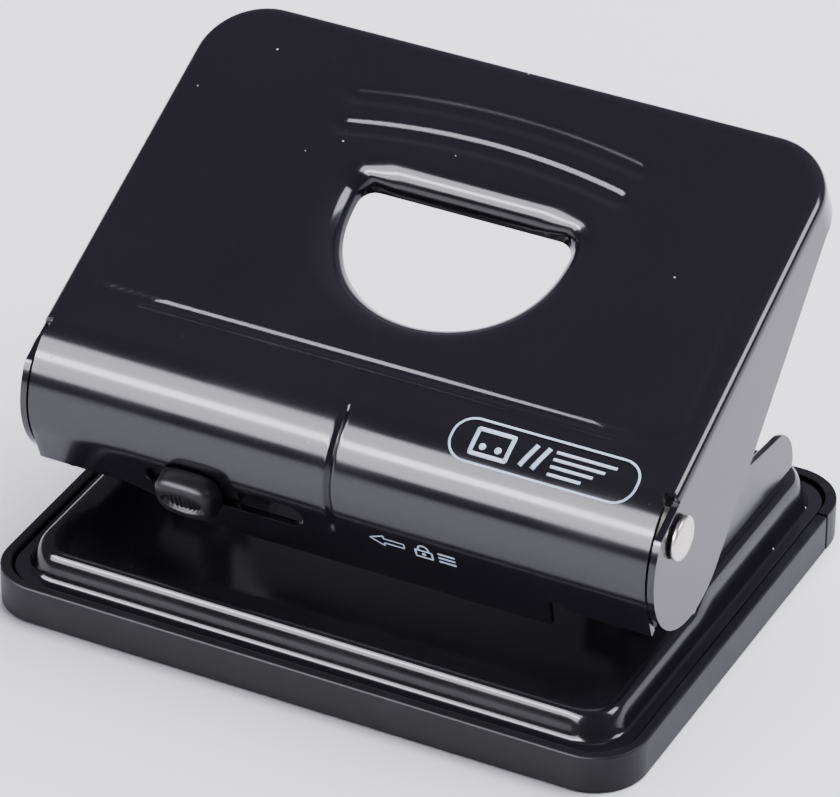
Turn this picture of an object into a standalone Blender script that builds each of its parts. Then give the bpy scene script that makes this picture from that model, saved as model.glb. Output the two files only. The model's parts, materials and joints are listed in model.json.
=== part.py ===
"""Two-hole desk punch: pressed steel lever handle, bent frame, pressed base and plastic chip tray.

Frame: +X to the right-hand pivot pin, -Y to the paper side (front), +Z up.
The origin is on the table, in the middle of the tray's footprint.
Lengths below are in millimetres and are turned into metres when geometry is made.
"""
import math

import bmesh
import bpy
from mathutils import Matrix, Vector

MM = 0.001
GAP = 0.3            # clearance between pieces that touch on the real object
SHEET = 1.2          # thickness of every pressed steel sheet

# chip tray and its fixed rear rail
TRAY_W, TRAY_D = 120.0, 93.0
RIM_H = 7.2
TRAY_R = 9.5         # plan radius of the tray's corners
RIM_T = 2.0          # width of the rim
LEDGE_W = 2.0        # ledge inside the rim that carries the base
LEDGE_Z = 4.9
FLOOR_T = 1.4
SEAM_Y = 35.0        # joint line between tray and rear rail
RAIL_WALL = 1.6      # front wall of the rear rail
HINGE_Z = 0.0        # the tray turns on its lower rear edge

# base plate
BASE_FLANGE_Z = 6.4
DECK_Z = 11.0        # front deck
PLATFORM_Z = 13.3    # rear platform under the frame
STEP_Y0, STEP_Y1 = -7.0, -2.0
BASE_R = 7.6
# side view of the pressed shoulder: inset from the edge, share of the height
BASE_PROFILE = ((0.0, 0.0), (1.6, 0.0), (2.3, 0.14), (2.9, 0.5), (3.9, 0.84), (5.5, 1.0))
DIE_R = 3.15         # holes in the base that the pins enter

# frame
SLOT_H = 2.6         # paper slot
PLATE_Z = PLATFORM_Z + SLOT_H
STOP_Y = 15.0        # paper edge stop, 12 mm behind the holes
EAR_X = 53.6         # outer face of each ear
LIP_HALF_W = 57.0
LIP_Y, LIP_Z = -27.8, 19.0
LIP_BEND_Y = -15.0
LIP_MIDDLE_W, LIP_MIDDLE_Y = 43.0, -24.5   # the lip is cut back between these stations
FOOT_HALF_W, FOOT_END_Y = 49.0, 33.0
EAR_LOBE_Y, EAR_LOBE_Z, EAR_LOBE_R = 25.5, 17.4, 8.6
PIVOT_EYE_R = 4.8
FRAME_RIVET_X = (-42.0, -14.0, 14.0, 42.0)
FRAME_RIVET_Y = 26.0
GUIDE_RIVET_DX = 9.8
RIVET_HOLE_R = 1.5

# punch pins
HOLE_PITCH = 80.0
PIN_R = 3.0
PIN_Y = STOP_Y - 12.0
PIN_TIP_Z, PIN_TOP_Z = 16.6, 44.5
CLIP_Z = 42.2
BRIDGE_Z = 28.2      # top of each guide bridge

# handle
SLOPE = math.radians(25.2)
NOSE_Y, NOSE_Z, NOSE_R = -18.8, 34.0, 14.6
NOSE_END = math.radians(200.0)     # where the roll turns into the flat lower face
HANDLE_HALF_W = 58.6
BEND_R = 2.2
PANEL_LEN = 71.0
PANEL_R = 12.0       # plan radius of the two rear corners
SKIRT = 8.5
LOBE_START, LOBE_END = -45.7, -235.0   # the flange's free edge runs round the nose circle between these
FLAP_Z, TONGUE_Z = 22.2, 17.2
D_TOP, D_BOTTOM, D_HALF_W = 42.1, 18.9, 19.8     # opening in the panel
D_MID_X, D_CORNER = 1.2, 3.0
COLLAR_DEPTH = 4.2   # the opening's edge is drawn down this far
PIVOT_Y, PIVOT_Z = -24.6, 38.9
PIVOT_HOLE_R = 2.5
PRESS_DEG = 16.0

# lock slider, in the frame of the nose's flat lower face
FACE_TILT = NOSE_END - math.pi     # the face leans this much from upright
SLOT_LEFT, SLOT_RIGHT, SLOT_W = -35.6, -6.0, 5.3
SLIDER_Z = 26.1
BUTTON_X = -26.6
BUTTON_HALF_W, BUTTON_LOW, BUTTON_HIGH, BUTTON_OUT = 5.5, -4.1, 5.1, 4.8   # grip outside the nose
BAR_DEPTH = 4.8      # middle of the bar behind the nose's outer face
TIP_X = -52.0
TIP_DROP = 2.0       # the bar's tip sits this far below its middle


# ---------------------------------------------------------------- helpers

def clear_scene():
    for obj in list(bpy.data.objects):
        bpy.data.objects.remove(obj, do_unlink=True)


def collection(name):
    col = bpy.data.collections.new(name)
    bpy.context.scene.collection.children.link(col)
    return col


clear_scene()
PARTS = collection("hole_punch")
CUTTERS = collection("cutters")


def material(name, color, roughness, metallic):
    mat = bpy.data.materials.new(name)
    mat.use_nodes = True
    bsdf = mat.node_tree.nodes["Principled BSDF"]
    bsdf.inputs["Base Color"].default_value = (*color, 1.0)
    bsdf.inputs["Roughness"].default_value = roughness
    bsdf.inputs["Metallic"].default_value = metallic
    return mat


GLOSS_PAINT = material("gloss_black_paint", (0.012, 0.011, 0.014), 0.15, 0.0)
PLASTIC = material("black_plastic", (0.02, 0.02, 0.022), 0.5, 0.0)
NICKEL = material("nickel", (0.75, 0.74, 0.72), 0.25, 1.0)
STEEL = material("steel", (0.55, 0.56, 0.58), 0.35, 1.0)
SPRING_STEEL = material("spring_steel", (0.4, 0.4, 0.42), 0.3, 1.0)
NYLON = material("nylon", (0.7, 0.7, 0.66), 0.5, 0.0)


def add_object(name, mesh, mat, col=PARTS):
    obj = bpy.data.objects.new(name, mesh)
    col.objects.link(obj)
    if mat:
        mesh.materials.clear()
        mesh.materials.append(mat)
    return obj


def as_cutter(obj):
    obj.hide_render = True
    obj.display_type = "WIRE"
    return obj


def mesh_from_bmesh(name, bm):
    mesh = bpy.data.meshes.new(name)
    bm.to_mesh(mesh)
    bm.free()
    return mesh


AXES = {
    "X": Matrix(((0, 0, 1), (1, 0, 0), (0, 1, 0))).to_4x4(),    # outline is (y, z)
    "Y": Matrix(((1, 0, 0), (0, 0, -1), (0, 1, 0))).to_4x4(),   # outline is (x, z)
    "Z": Matrix.Identity(4),                                    # outline is (x, y)
}


def prism(name, outline, low, high, axis, mat=None, col=PARTS):
    """A flat outline extruded between two stations of an axis, as a mesh object."""
    curve = bpy.data.curves.new(name, "CURVE")
    curve.dimensions = "2D"
    curve.fill_mode = "BOTH"
    curve.extrude = (high - low) / 2 * MM
    spline = curve.splines.new("POLY")
    spline.points.add(len(outline) - 1)
    for point, (u, v) in zip(spline.points, outline):
        point.co = (u * MM, v * MM, 0, 1)
    spline.use_cyclic_u = True
    guide = bpy.data.objects.new(name + "_outline", curve)
    col.objects.link(guide)
    bpy.context.view_layer.update()
    depsgraph = bpy.context.evaluated_depsgraph_get()
    mesh = bpy.data.meshes.new_from_object(guide.evaluated_get(depsgraph))
    bpy.data.objects.remove(guide, do_unlink=True)
    middle = (low + high) / 2 * MM * (-1 if axis == "Y" else 1)
    mesh.transform(AXES[axis] @ Matrix.Translation((0, 0, middle)))
    bm = bmesh.new()
    bm.from_mesh(mesh)
    bmesh.ops.remove_doubles(bm, verts=bm.verts, dist=0.000001)
    bm.to_mesh(mesh)
    bm.free()
    return add_object(name, mesh, mat, col)


def box(name, low, high, mat=None, col=PARTS):
    bm = bmesh.new()
    bmesh.ops.create_cube(bm, size=1.0)
    size = [(h - l) * MM for l, h in zip(low, high)]
    centre = [(h + l) / 2 * MM for l, h in zip(low, high)]
    bmesh.ops.scale(bm, vec=size, verts=bm.verts)
    bmesh.ops.translate(bm, vec=centre, verts=bm.verts)
    return add_object(name, mesh_from_bmesh(name, bm), mat, col)


def turned(name, profile, steps, mat=None, col=PARTS):
    """A profile of (radius, height), top to bottom, turned about local Z."""
    bm = bmesh.new()
    verts = [bm.verts.new((r * MM, 0, z * MM)) for r, z in profile]
    for a, b in zip(verts, verts[1:]):
        bm.edges.new((a, b))
    obj = add_object(name, mesh_from_bmesh(name, bm), mat, col)
    screw = obj.modifiers.new("turn", "SCREW")
    screw.steps = steps
    screw.render_steps = steps
    screw.use_merge_vertices = True
    screw.merge_threshold = 0.00001
    return obj


def hole(name, centre, radius, length, axis, steps=24):
    """A round cutter about a point, along an axis."""
    profile = [(0, length / 2), (radius, length / 2), (radius, -length / 2), (0, -length / 2)]
    obj = turned(name, profile, steps, col=CUTTERS)
    obj.location = Vector(centre) * MM
    if axis == "X":
        obj.rotation_euler = (0, math.pi / 2, 0)
    return as_cutter(obj)


def boolean(target, other, operation="DIFFERENCE"):
    mod = target.modifiers.new(operation.lower(), "BOOLEAN")
    mod.operation = operation
    mod.object = other
    return mod


def join(target, *others):
    """Weld other solids onto a target; they stay as hidden guides."""
    for other in others:
        boolean(target, as_cutter(other), "UNION")


def arc(cy, cz, radius, start, end, count):
    """Points of an arc, angles in degrees."""
    angles = [math.radians(start + (end - start) * k / count) for k in range(count + 1)]
    return [(cy + radius * math.cos(a), cz + radius * math.sin(a)) for a in angles]


def strip(path, thickness):
    """Outline of a bent sheet: the path, then the path offset to its left with mitred bends."""
    normals = []
    for (ax, ay), (bx, by) in zip(path, path[1:]):
        length = math.hypot(bx - ax, by - ay)
        normals.append(Vector((-(by - ay) / length, (bx - ax) / length)))
    offset = []
    for k, (x, y) in enumerate(path):
        before = normals[max(k - 1, 0)]
        after = normals[min(k, len(normals) - 1)]
        mitre = (before + after).normalized()
        reach = thickness / mitre.dot(after)
        offset.append((x + mitre.x * reach, y + mitre.y * reach))
    return list(path) + offset[::-1]


# ---------------------------------------------------------------- tray and rail

def tray_outline(inset, y_low, y_high, steps=6):
    """The tray's rounded rectangle, inset, cut to a stretch of Y."""
    half_w, half_d = TRAY_W / 2 - inset, TRAY_D / 2 - inset
    radius = max(TRAY_R - inset, 2.0)
    points = []
    if y_low < -half_d:
        points += arc(-half_w + radius, -half_d + radius, radius, 180, 270, steps)
        points += arc(half_w - radius, -half_d + radius, radius, 270, 360, steps)
    else:
        points += [(-half_w, y_low), (half_w, y_low)]
    if y_high > half_d:
        points += arc(half_w - radius, half_d - radius, radius, 0, 90, steps)
        points += arc(-half_w + radius, half_d - radius, radius, 90, 180, steps)
    else:
        points += [(half_w, y_high), (-half_w, y_high)]
    return points


def make_tray():
    """Open plastic tray: floor, walls, ledge under the base, rim round it."""
    far = TRAY_D
    end = SEAM_Y - GAP / 2
    tray = prism("chip_tray", tray_outline(0, -far, end), 0, RIM_H, "Z", PLASTIC)
    seat = prism("tray_seat", tray_outline(RIM_T, -far, SEAM_Y + 2), LEDGE_Z, RIM_H + 2, "Z", col=CUTTERS)
    pocket = tray_outline(RIM_T + LEDGE_W, -far, end - RIM_T)
    well = prism("tray_well", pocket, FLOOR_T, RIM_H + 2, "Z", col=CUTTERS)
    boolean(tray, as_cutter(seat))
    boolean(tray, as_cutter(well))


def make_rear_rail():
    """The fixed rear end of the rim, a shallow U-shaped box."""
    far = TRAY_D
    start = SEAM_Y + GAP / 2
    rail = prism("tray_rear_rail", tray_outline(0, start, far), 0, RIM_H, "Z", PLASTIC)
    seat = prism("rail_seat", tray_outline(RIM_T, SEAM_Y - 2, far), LEDGE_Z, RIM_H + 2, "Z", col=CUTTERS)
    pocket = tray_outline(RIM_T + LEDGE_W, start + RAIL_WALL, far)
    well = prism("rail_well", pocket, FLOOR_T, RIM_H + 2, "Z", col=CUTTERS)
    boolean(rail, as_cutter(seat))
    boolean(rail, as_cutter(well))


# ---------------------------------------------------------------- base plate

def base_ring(inset):
    """Plan points of the base at an inset, with corners at both ends of the step."""
    half_w, half_d = TRAY_W / 2 - RIM_T - 0.4 - inset, TRAY_D / 2 - RIM_T - 0.4 - inset
    radius = BASE_R - 0.3 * inset
    right = [(half_w, STEP_Y0), (half_w, STEP_Y1)]
    left = [(-half_w, STEP_Y1), (-half_w, STEP_Y0)]
    front_right = arc(half_w - radius, -half_d + radius, radius, 270, 360, 6)
    rear_right = arc(half_w - radius, half_d - radius, radius, 0, 90, 6)
    rear_left = arc(-half_w + radius, half_d - radius, radius, 90, 180, 6)
    front_left = arc(-half_w + radius, -half_d + radius, radius, 180, 270, 6)
    return front_right + right + rear_right + rear_left + left + front_left


def base_height(y, share):
    top = DECK_Z if y < (STEP_Y0 + STEP_Y1) / 2 else PLATFORM_Z
    return BASE_FLANGE_Z + share * (top - BASE_FLANGE_Z)


def make_base():
    """Pressed sheet: flat flange, rounded shoulder, front deck and raised platform."""
    bm = bmesh.new()
    rings = []
    for inset, share in BASE_PROFILE:
        ring = [bm.verts.new((x * MM, y * MM, base_height(y, share) * MM)) for x, y in base_ring(inset)]
        rings.append(ring)
    count = len(rings[0])
    for outer, inner in zip(rings, rings[1:]):
        for k in range(count):
            j = (k + 1) % count
            bm.faces.new((outer[k], outer[j], inner[j], inner[k]))
    top = rings[-1]
    right_front, right_rear = top[7], top[8]
    left_rear, left_front = top[23], top[24]
    bm.faces.new(top[24:] + top[:8])
    bm.faces.new((left_front, right_front, right_rear, left_rear))
    bm.faces.new(top[8:24])
    base = add_object("base_plate", mesh_from_bmesh("base_plate", bm), GLOSS_PAINT)
    wall = base.modifiers.new("sheet", "SOLIDIFY")
    wall.thickness = SHEET * MM
    wall.offset = -1
    wall.use_even_offset = True
    for side in (-1, 1):
        boolean(base, hole(f"die_cut_{side}", (side * HOLE_PITCH / 2, PIN_Y, DECK_Z), DIE_R, 20, "Z"))
    for k, x in enumerate(FRAME_RIVET_X):
        boolean(base, hole(f"base_rivet_cut_{k}", (x, FRAME_RIVET_Y, DECK_Z), RIVET_HOLE_R, 20, "Z", 16))


# ---------------------------------------------------------------- frame

def frame_profile():
    """Side view of the frame plate: flared lip, guide plate, step down to the foot."""
    foot_z = PLATFORM_Z + GAP
    path = [(LIP_Y, LIP_Z), (LIP_BEND_Y, PLATE_Z), (STOP_Y - 1, PLATE_Z), (STOP_Y, foot_z),
            (FOOT_END_Y, foot_z)]
    return strip(path, SHEET)


def ear_outline():
    """Side view of an ear: rounded rear lobe, sloping top edge, pivot eye, front edge."""
    bottom = PLATE_Z + 0.1
    points = [(-19.0, bottom), (33.6, bottom)]
    points += arc(EAR_LOBE_Y, EAR_LOBE_Z, EAR_LOBE_R, 0, 90, 6)
    points += [(16.0, 27.2), (-2.0, 35.5)]
    points += arc(PIVOT_Y, PIVOT_Z, PIVOT_EYE_R, 55, 180, 6)
    points += [(-30.3, 30.0), (-30.0, 27.3), (-28.1, 22.0), (-26.6, 19.4)]
    return points


def slider_point(depth, drop):
    """A point behind the nose's flat face: depth inwards, drop down along the face."""
    face_y = NOSE_Y + NOSE_R * math.cos(NOSE_END)
    face_z = NOSE_Z + NOSE_R * math.sin(NOSE_END)
    along = (face_z - SLIDER_Z) / math.cos(FACE_TILT) + drop
    y = face_y + along * math.sin(FACE_TILT) + depth * math.cos(FACE_TILT)
    z = face_z - along * math.cos(FACE_TILT) + depth * math.sin(FACE_TILT)
    return y, z


def pressed(y, z):
    """Where a point of the handle is when the handle is fully pressed."""
    turn = -math.radians(PRESS_DEG)
    dy, dz = y - PIVOT_Y, z - PIVOT_Z
    return (PIVOT_Y + dy * math.cos(turn) - dz * math.sin(turn),
            PIVOT_Z + dy * math.sin(turn) + dz * math.cos(turn))


def lock_cut(name, y, z, tilt):
    cutter = box(name, (-1.5, -0.95, -1.65), (1.5, 0.95, 1.65), col=CUTTERS)
    cutter.location = (-EAR_X * MM, y * MM, z * MM)
    cutter.rotation_euler = (tilt, 0, 0)
    return as_cutter(cutter)


def make_frame():
    """Guide plate with lip and foot, bent from one sheet with its two ears."""
    frame = prism("punch_frame", frame_profile(), -LIP_HALF_W, LIP_HALF_W, "X", GLOSS_PAINT)
    tall = (10.0, 24.0)
    for side in (-1, 1):
        beside = sorted((side * (EAR_X - 0.4), side * 60.0))
        foot = sorted((side * FOOT_HALF_W, side * 60.0))
        trims = (
            box(f"plate_trim_{side}", (beside[0], -21.0, tall[0]), (beside[1], 40.0, tall[1]), col=CUTTERS),
            box(f"foot_trim_{side}", (foot[0], STOP_Y - 0.9, tall[0]), (foot[1], 40.0, tall[1]), col=CUTTERS),
        )
        for trim in trims:
            boolean(frame, as_cutter(trim))
    front = box("lip_trim", (-LIP_MIDDLE_W, -35.0, tall[0]), (LIP_MIDDLE_W, LIP_MIDDLE_Y, tall[1]), col=CUTTERS)
    boolean(frame, as_cutter(front))
    for side in (-1, 1):
        span = sorted((side * (EAR_X - SHEET), side * EAR_X))
        ear = prism(f"ear_{side}", ear_outline(), span[0], span[1], "X", col=CUTTERS)
        join(frame, ear)
    for side in (-1, 1):
        x = side * HOLE_PITCH / 2
        boolean(frame, hole(f"guide_cut_{side}", (x, PIN_Y, PLATE_Z), PIN_R + 0.2, 8, "Z"))
        for end in (-1, 1):
            centre = (x + end * GUIDE_RIVET_DX, PIN_Y, PLATE_Z)
            boolean(frame, hole(f"guide_rivet_cut_{side}_{end}", centre, RIVET_HOLE_R, 8, "Z", 16))
        boolean(frame, hole(f"ear_cut_{side}", (side * EAR_X, PIVOT_Y, PIVOT_Z), PIVOT_HOLE_R, 8, "X"))
    for k, x in enumerate(FRAME_RIVET_X):
        boolean(frame, hole(f"foot_cut_{k}", (x, FRAME_RIVET_Y, PLATFORM_Z), RIVET_HOLE_R, 8, "Z", 16))
    tip = slider_point(BAR_DEPTH, TIP_DROP)
    boolean(frame, lock_cut("lock_cut_up", *tip, FACE_TILT))
    boolean(frame, lock_cut("lock_cut_down", *pressed(*tip), FACE_TILT - math.radians(PRESS_DEG)))


def make_guide_bridge(side, name):
    """Small U bracket that guides a punch pin's upper half."""
    x = side * HOLE_PITCH / 2
    foot = PLATE_Z + SHEET + GAP
    inner = BRIDGE_Z - SHEET
    path = [(x + 12.0, foot), (x + 6.4, foot), (x + 6.4, inner), (x - 6.4, inner), (x - 6.4, foot),
            (x - 12.0, foot)]
    outline = strip(path[::-1], SHEET)
    bridge = prism(name, outline, PIN_Y - 6, PIN_Y + 6, "Y", STEEL)
    boolean(bridge, hole(name + "_bore", (x, PIN_Y, BRIDGE_Z), PIN_R + 0.2, 8, "Z"))
    for end in (-1, 1):
        centre = (x + end * GUIDE_RIVET_DX, PIN_Y, foot)
        boolean(bridge, hole(f"{name}_rivet_cut_{end}", centre, RIVET_HOLE_R, 5, "Z", 16))


def make_rivets():
    """Round-head rivets: four through the frame's foot, four through the bridges' feet."""
    foot_top = PLATFORM_Z + GAP + SHEET + GAP
    base_under = PLATFORM_Z - SHEET - GAP
    shape = [(0, foot_top + 1.1), (1.4, foot_top + 0.9), (2.4, foot_top), (1.2, foot_top),
             (1.2, base_under), (2.3, base_under), (2.3, base_under - 0.9), (0, base_under - 0.9)]
    for k, x in enumerate(FRAME_RIVET_X):
        rivet = turned(f"frame_rivet_{k + 1}", shape, 12, STEEL)
        rivet.location = (x * MM, FRAME_RIVET_Y * MM, 0)
    bridge_top = PLATE_Z + 2 * (SHEET + GAP)
    shape = [(0, bridge_top + 1.0), (1.1, bridge_top + 0.8), (1.8, bridge_top), (1.2, bridge_top),
             (1.2, PLATE_Z + 0.1), (0, PLATE_Z + 0.1)]
    spots = [side * HOLE_PITCH / 2 + end * GUIDE_RIVET_DX for side in (-1, 1) for end in (-1, 1)]
    for k, x in enumerate(spots):
        rivet = turned(f"guide_rivet_{k + 1}", shape, 12, STEEL)
        rivet.location = (x * MM, PIN_Y * MM, 0)


def make_pivot(side, name):
    """Nickel rivet pin: domed head outside the flange, shank, formed end inside the ear."""
    outer, ear_inner = HANDLE_HALF_W + GAP, EAR_X - SHEET - GAP
    shape = [(0, outer + 1.4), (2.8, outer + 1.25), (3.9, outer + 0.8), (3.9, outer), (2.2, outer),
             (2.2, ear_inner), (3.4, ear_inner), (3.2, ear_inner - 1.2), (0, ear_inner - 1.4)]
    pin = turned(f"pivot_pin_{name}", shape, 24, NICKEL)
    pin.location = (0, PIVOT_Y * MM, PIVOT_Z * MM)
    pin.rotation_euler = (0, side * math.pi / 2, 0)
    low, high = EAR_X + GAP, HANDLE_HALF_W - SHEET - GAP
    ring = [(2.5, high), (4.2, high), (4.2, low), (2.5, low), (2.5, high)]
    spacer = turned(f"pivot_spacer_{name}", ring, 20, NYLON)
    spacer.location = pin.location
    spacer.rotation_euler = pin.rotation_euler


# ---------------------------------------------------------------- handle

def panel_point(along, depth=0.0):
    """(y, z) on the sloping panel, along it from the nose, depth below its outer face."""
    y0 = NOSE_Y - NOSE_R * math.sin(SLOPE)
    z0 = NOSE_Z + NOSE_R * math.cos(SLOPE)
    return (y0 + along * math.cos(SLOPE) + depth * math.sin(SLOPE),
            z0 + along * math.sin(SLOPE) - depth * math.cos(SLOPE))


def panel_path(inset):
    """Plan of the panel's bent edge: right side, rear corners, left side, as (x, along)."""
    half_w = HANDLE_HALF_W - inset
    corner_x = HANDLE_HALF_W - PANEL_R
    corner_s = PANEL_LEN - PANEL_R
    radius = PANEL_R - inset
    right = arc(corner_x, corner_s, radius, 0, 90, 6)
    left = arc(-corner_x, corner_s, radius, 90, 180, 6)
    return [(half_w, 0.0)] + right + left + [(-half_w, 0.0)]


def flange_edge():
    """Side view of a flange's free edge, from the skirt's corner round the lobe to the front."""
    return arc(NOSE_Y, NOSE_Z, NOSE_R, LOBE_START, LOBE_END, 14)


def make_handle():
    """One sheet: panel, bent skirt and flanges, and the nose roll with flaps and tongue."""
    bm = bmesh.new()

    def vert(x, point):
        return bm.verts.new((x * MM, point[0] * MM, point[1] * MM))

    rings = []
    for bend in (0, 30, 60, 90):
        turn = math.radians(bend)
        inset, depth = BEND_R * (1 - math.sin(turn)), BEND_R * (1 - math.cos(turn))
        rings.append([vert(x, panel_point(s, depth)) for x, s in panel_path(inset)])
    for upper, lower in zip(rings, rings[1:]):
        for k in range(len(upper) - 1):
            bm.faces.new((upper[k], upper[k + 1], lower[k + 1], lower[k]))
    bm.faces.new(rings[0])
    edge = rings[-1]
    hem = [vert(x, panel_point(s, SKIRT)) for x, s in panel_path(0)[1:-1]]
    for k in range(len(hem) - 1):
        bm.faces.new((edge[k + 1], edge[k + 2], hem[k + 1], hem[k]))
    for x, start, corner, low in ((HANDLE_HALF_W, edge[0], edge[1], hem[0]),
                                  (-HANDLE_HALF_W, edge[-1], edge[-2], hem[-1])):
        lobe = [vert(x, point) for point in flange_edge()]
        bm.faces.new([start, corner, low] + lobe)

    roll = arc(NOSE_Y, NOSE_Z, NOSE_R, 90 + math.degrees(SLOPE), math.degrees(NOSE_END), 8)[1:]
    fall = (roll[-1][1] - TONGUE_Z) * math.tan(FACE_TILT)
    roll.append((roll[-1][0] + fall, TONGUE_Z))
    left, right = rings[0][-1], rings[0][0]
    half_w = HANDLE_HALF_W - BEND_R
    for point in roll:
        next_left, next_right = vert(-half_w, point), vert(half_w, point)
        bm.faces.new((left, right, next_right, next_left))
        left, right = next_left, next_right

    bmesh.ops.recalc_face_normals(bm, faces=bm.faces)
    bm.faces.ensure_lookup_table()
    panel = max(bm.faces, key=lambda f: f.calc_area())
    if panel.normal.z < 0:
        bmesh.ops.reverse_faces(bm, faces=bm.faces)
    handle = add_object("handle_shell", mesh_from_bmesh("handle_shell", bm), GLOSS_PAINT)
    wall = handle.modifiers.new("sheet", "SOLIDIFY")
    wall.thickness = SHEET * MM
    wall.offset = -1
    wall.use_even_offset = True
    cut_handle(handle)


def d_outline(outset):
    """The hole in the panel, flat side to the rear, grown by an outset, as (x, along)."""
    half_w, corner = D_HALF_W + outset, D_CORNER + outset
    corner_s = D_TOP - D_CORNER
    depth = corner_s - D_BOTTOM + outset
    points = arc(D_MID_X + half_w - corner, corner_s, corner, 0, 90, 3)
    points += arc(D_MID_X - half_w + corner, corner_s, corner, 90, 180, 3)
    for k in range(1, 16):
        turn = math.pi + math.pi * k / 16
        flat = abs(math.sin(turn)) ** 0.85
        points.append((D_MID_X + half_w * math.cos(turn), corner_s - depth * flat))
    return points


def cut_handle(handle):
    """The D-shaped hole with its collar, the nose's flaps and tongue, the slider's window, pivot holes."""
    y0, z0 = panel_point(0.0)
    collar = prism("d_collar", d_outline(SHEET), -COLLAR_DEPTH, -SHEET / 2, "Z", col=CUTTERS)
    d_cut = prism("d_cut", d_outline(0.0), -6, 6, "Z", col=CUTTERS)
    for obj in (collar, d_cut):
        obj.location = (0, y0 * MM, z0 * MM)
        obj.rotation_euler = (SLOPE, 0, 0)
    join(handle, collar)
    boolean(handle, as_cutter(d_cut))

    right = [(38.0, 10), (57.0, 10), (57.0, FLAP_Z), (38.0, FLAP_Z)]
    left = [(-57.0, 10), (-26.0, 10), (-26.0, TONGUE_Z), (-30.0, 18.9), (-37.5, 21.6), (-43.0, FLAP_Z),
            (-57.0, FLAP_Z)]
    for name, outline in (("flap_cut_right", right), ("flap_cut_left", left)):
        boolean(handle, as_cutter(prism(name, outline, -38, -24, "Y", col=CUTTERS)))

    half = SLOT_W / 2
    window = arc(SLOT_RIGHT - half, 0, half, -90, 90, 6) + arc(SLOT_LEFT + half, 0, half, 90, 270, 6)
    window_cut = prism("window_cut", window, -2.5, 3.0, "Y", col=CUTTERS)
    y, z = slider_point(0, 0)
    window_cut.location = (0, y * MM, z * MM)
    window_cut.rotation_euler = (FACE_TILT, 0, 0)
    boolean(handle, as_cutter(window_cut))
    for side in (-1, 1):
        boolean(handle, hole(f"flange_cut_{side}", (side * HANDLE_HALF_W, PIVOT_Y, PIVOT_Z), PIVOT_HOLE_R, 6, "X"))


def under_panel(y, depth):
    """The point at a station of Y on the line a depth below the panel's outer face."""
    y0 = panel_point(0)[0]
    along = (y - y0 - depth * math.sin(SLOPE)) / math.cos(SLOPE)
    return panel_point(along, depth)


def make_drive_bracket(side, name):
    """Hat bracket welded under the panel, its flat bottom just above a punch pin."""
    below = PIN_TOP_Z + 0.4
    depth = 2 * SHEET + GAP
    spots = [under_panel(PIN_Y + dy, depth) for dy in (-10, -5, 5, 10)]
    path = [spots[0], spots[1], (spots[1][0], below), (spots[2][0], below), spots[2], spots[3]]
    x = side * HOLE_PITCH / 2
    prism(name, strip(path, SHEET), x - 6, x + 6, "X", STEEL)


# ---------------------------------------------------------------- lock slider

def make_lock_button():
    """Plastic slider: grip outside, stem in the window, keeper plate behind the sheet."""
    grip = box("lock_button", (-BUTTON_HALF_W, -BUTTON_OUT, BUTTON_LOW), (BUTTON_HALF_W, -GAP, BUTTON_HIGH), PLASTIC)
    bevel = grip.modifiers.new("round", "BEVEL")
    bevel.width = 1.4 * MM
    bevel.segments = 3
    radius, reach = 2.3, 4.0
    ends = arc(reach - radius, 0, radius, -90, 90, 6) + arc(-reach + radius, 0, radius, 90, 270, 6)
    stem = prism("button_stem", ends, -1.0, 2.4, "Y", col=CUTTERS)
    keeper = box("button_keeper", (-7.0, 1.5, -3.5), (7.0, 3.9, 3.5), col=CUTTERS)
    y, z = slider_point(0, 0)
    for obj in (grip, stem, keeper):
        obj.location = (BUTTON_X * MM, y * MM, z * MM)
        obj.rotation_euler = (FACE_TILT, 0, 0)
    join(grip, stem, keeper)


def make_lock_bar():
    """Steel strip behind the keeper plate, with a narrow tip beside the left ear."""
    tip_low, tip_high = -TIP_DROP - 1.2, -TIP_DROP + 1.2
    outline = [(TIP_X, tip_low), (-47.0, tip_low), (-47.0, -3.4), (-12.0, -3.4), (-12.0, 3.0), (-47.0, 3.0),
               (-47.0, tip_high), (TIP_X, tip_high)]
    bar = prism("lock_bar", outline, BAR_DEPTH - 0.5, BAR_DEPTH + 0.5, "Y", STEEL)
    y, z = slider_point(0, 0)
    bar.location = (0, y * MM, z * MM)
    bar.rotation_euler = (FACE_TILT, 0, 0)


# ---------------------------------------------------------------- punch pins

def make_punch_pin(side, name):
    """Hardened pin: hollow-ground tip, groove for the clip, domed top."""
    x = side * HOLE_PITCH / 2
    groove_top, groove_low = CLIP_Z + 1.1, CLIP_Z - GAP
    shape = [(0, PIN_TOP_Z), (1.6, PIN_TOP_Z - 0.3), (2.7, PIN_TOP_Z - 1.1), (2.7, groove_top),
             (2.2, groove_top), (2.2, groove_low), (PIN_R, groove_low), (PIN_R, PIN_TIP_Z),
             (2.3, PIN_TIP_Z), (0, PIN_TIP_Z + 1.6)]
    pin = turned(f"punch_pin_{name}", shape, 24, STEEL)
    pin.location = (x * MM, PIN_Y * MM, 0)
    ring = [(2.5, CLIP_Z + 0.8), (4.7, CLIP_Z + 0.8), (4.7, CLIP_Z), (2.5, CLIP_Z), (2.5, CLIP_Z + 0.8)]
    clip = turned(f"pin_clip_{name}", ring, 20, SPRING_STEEL)
    clip.location = pin.location


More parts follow.
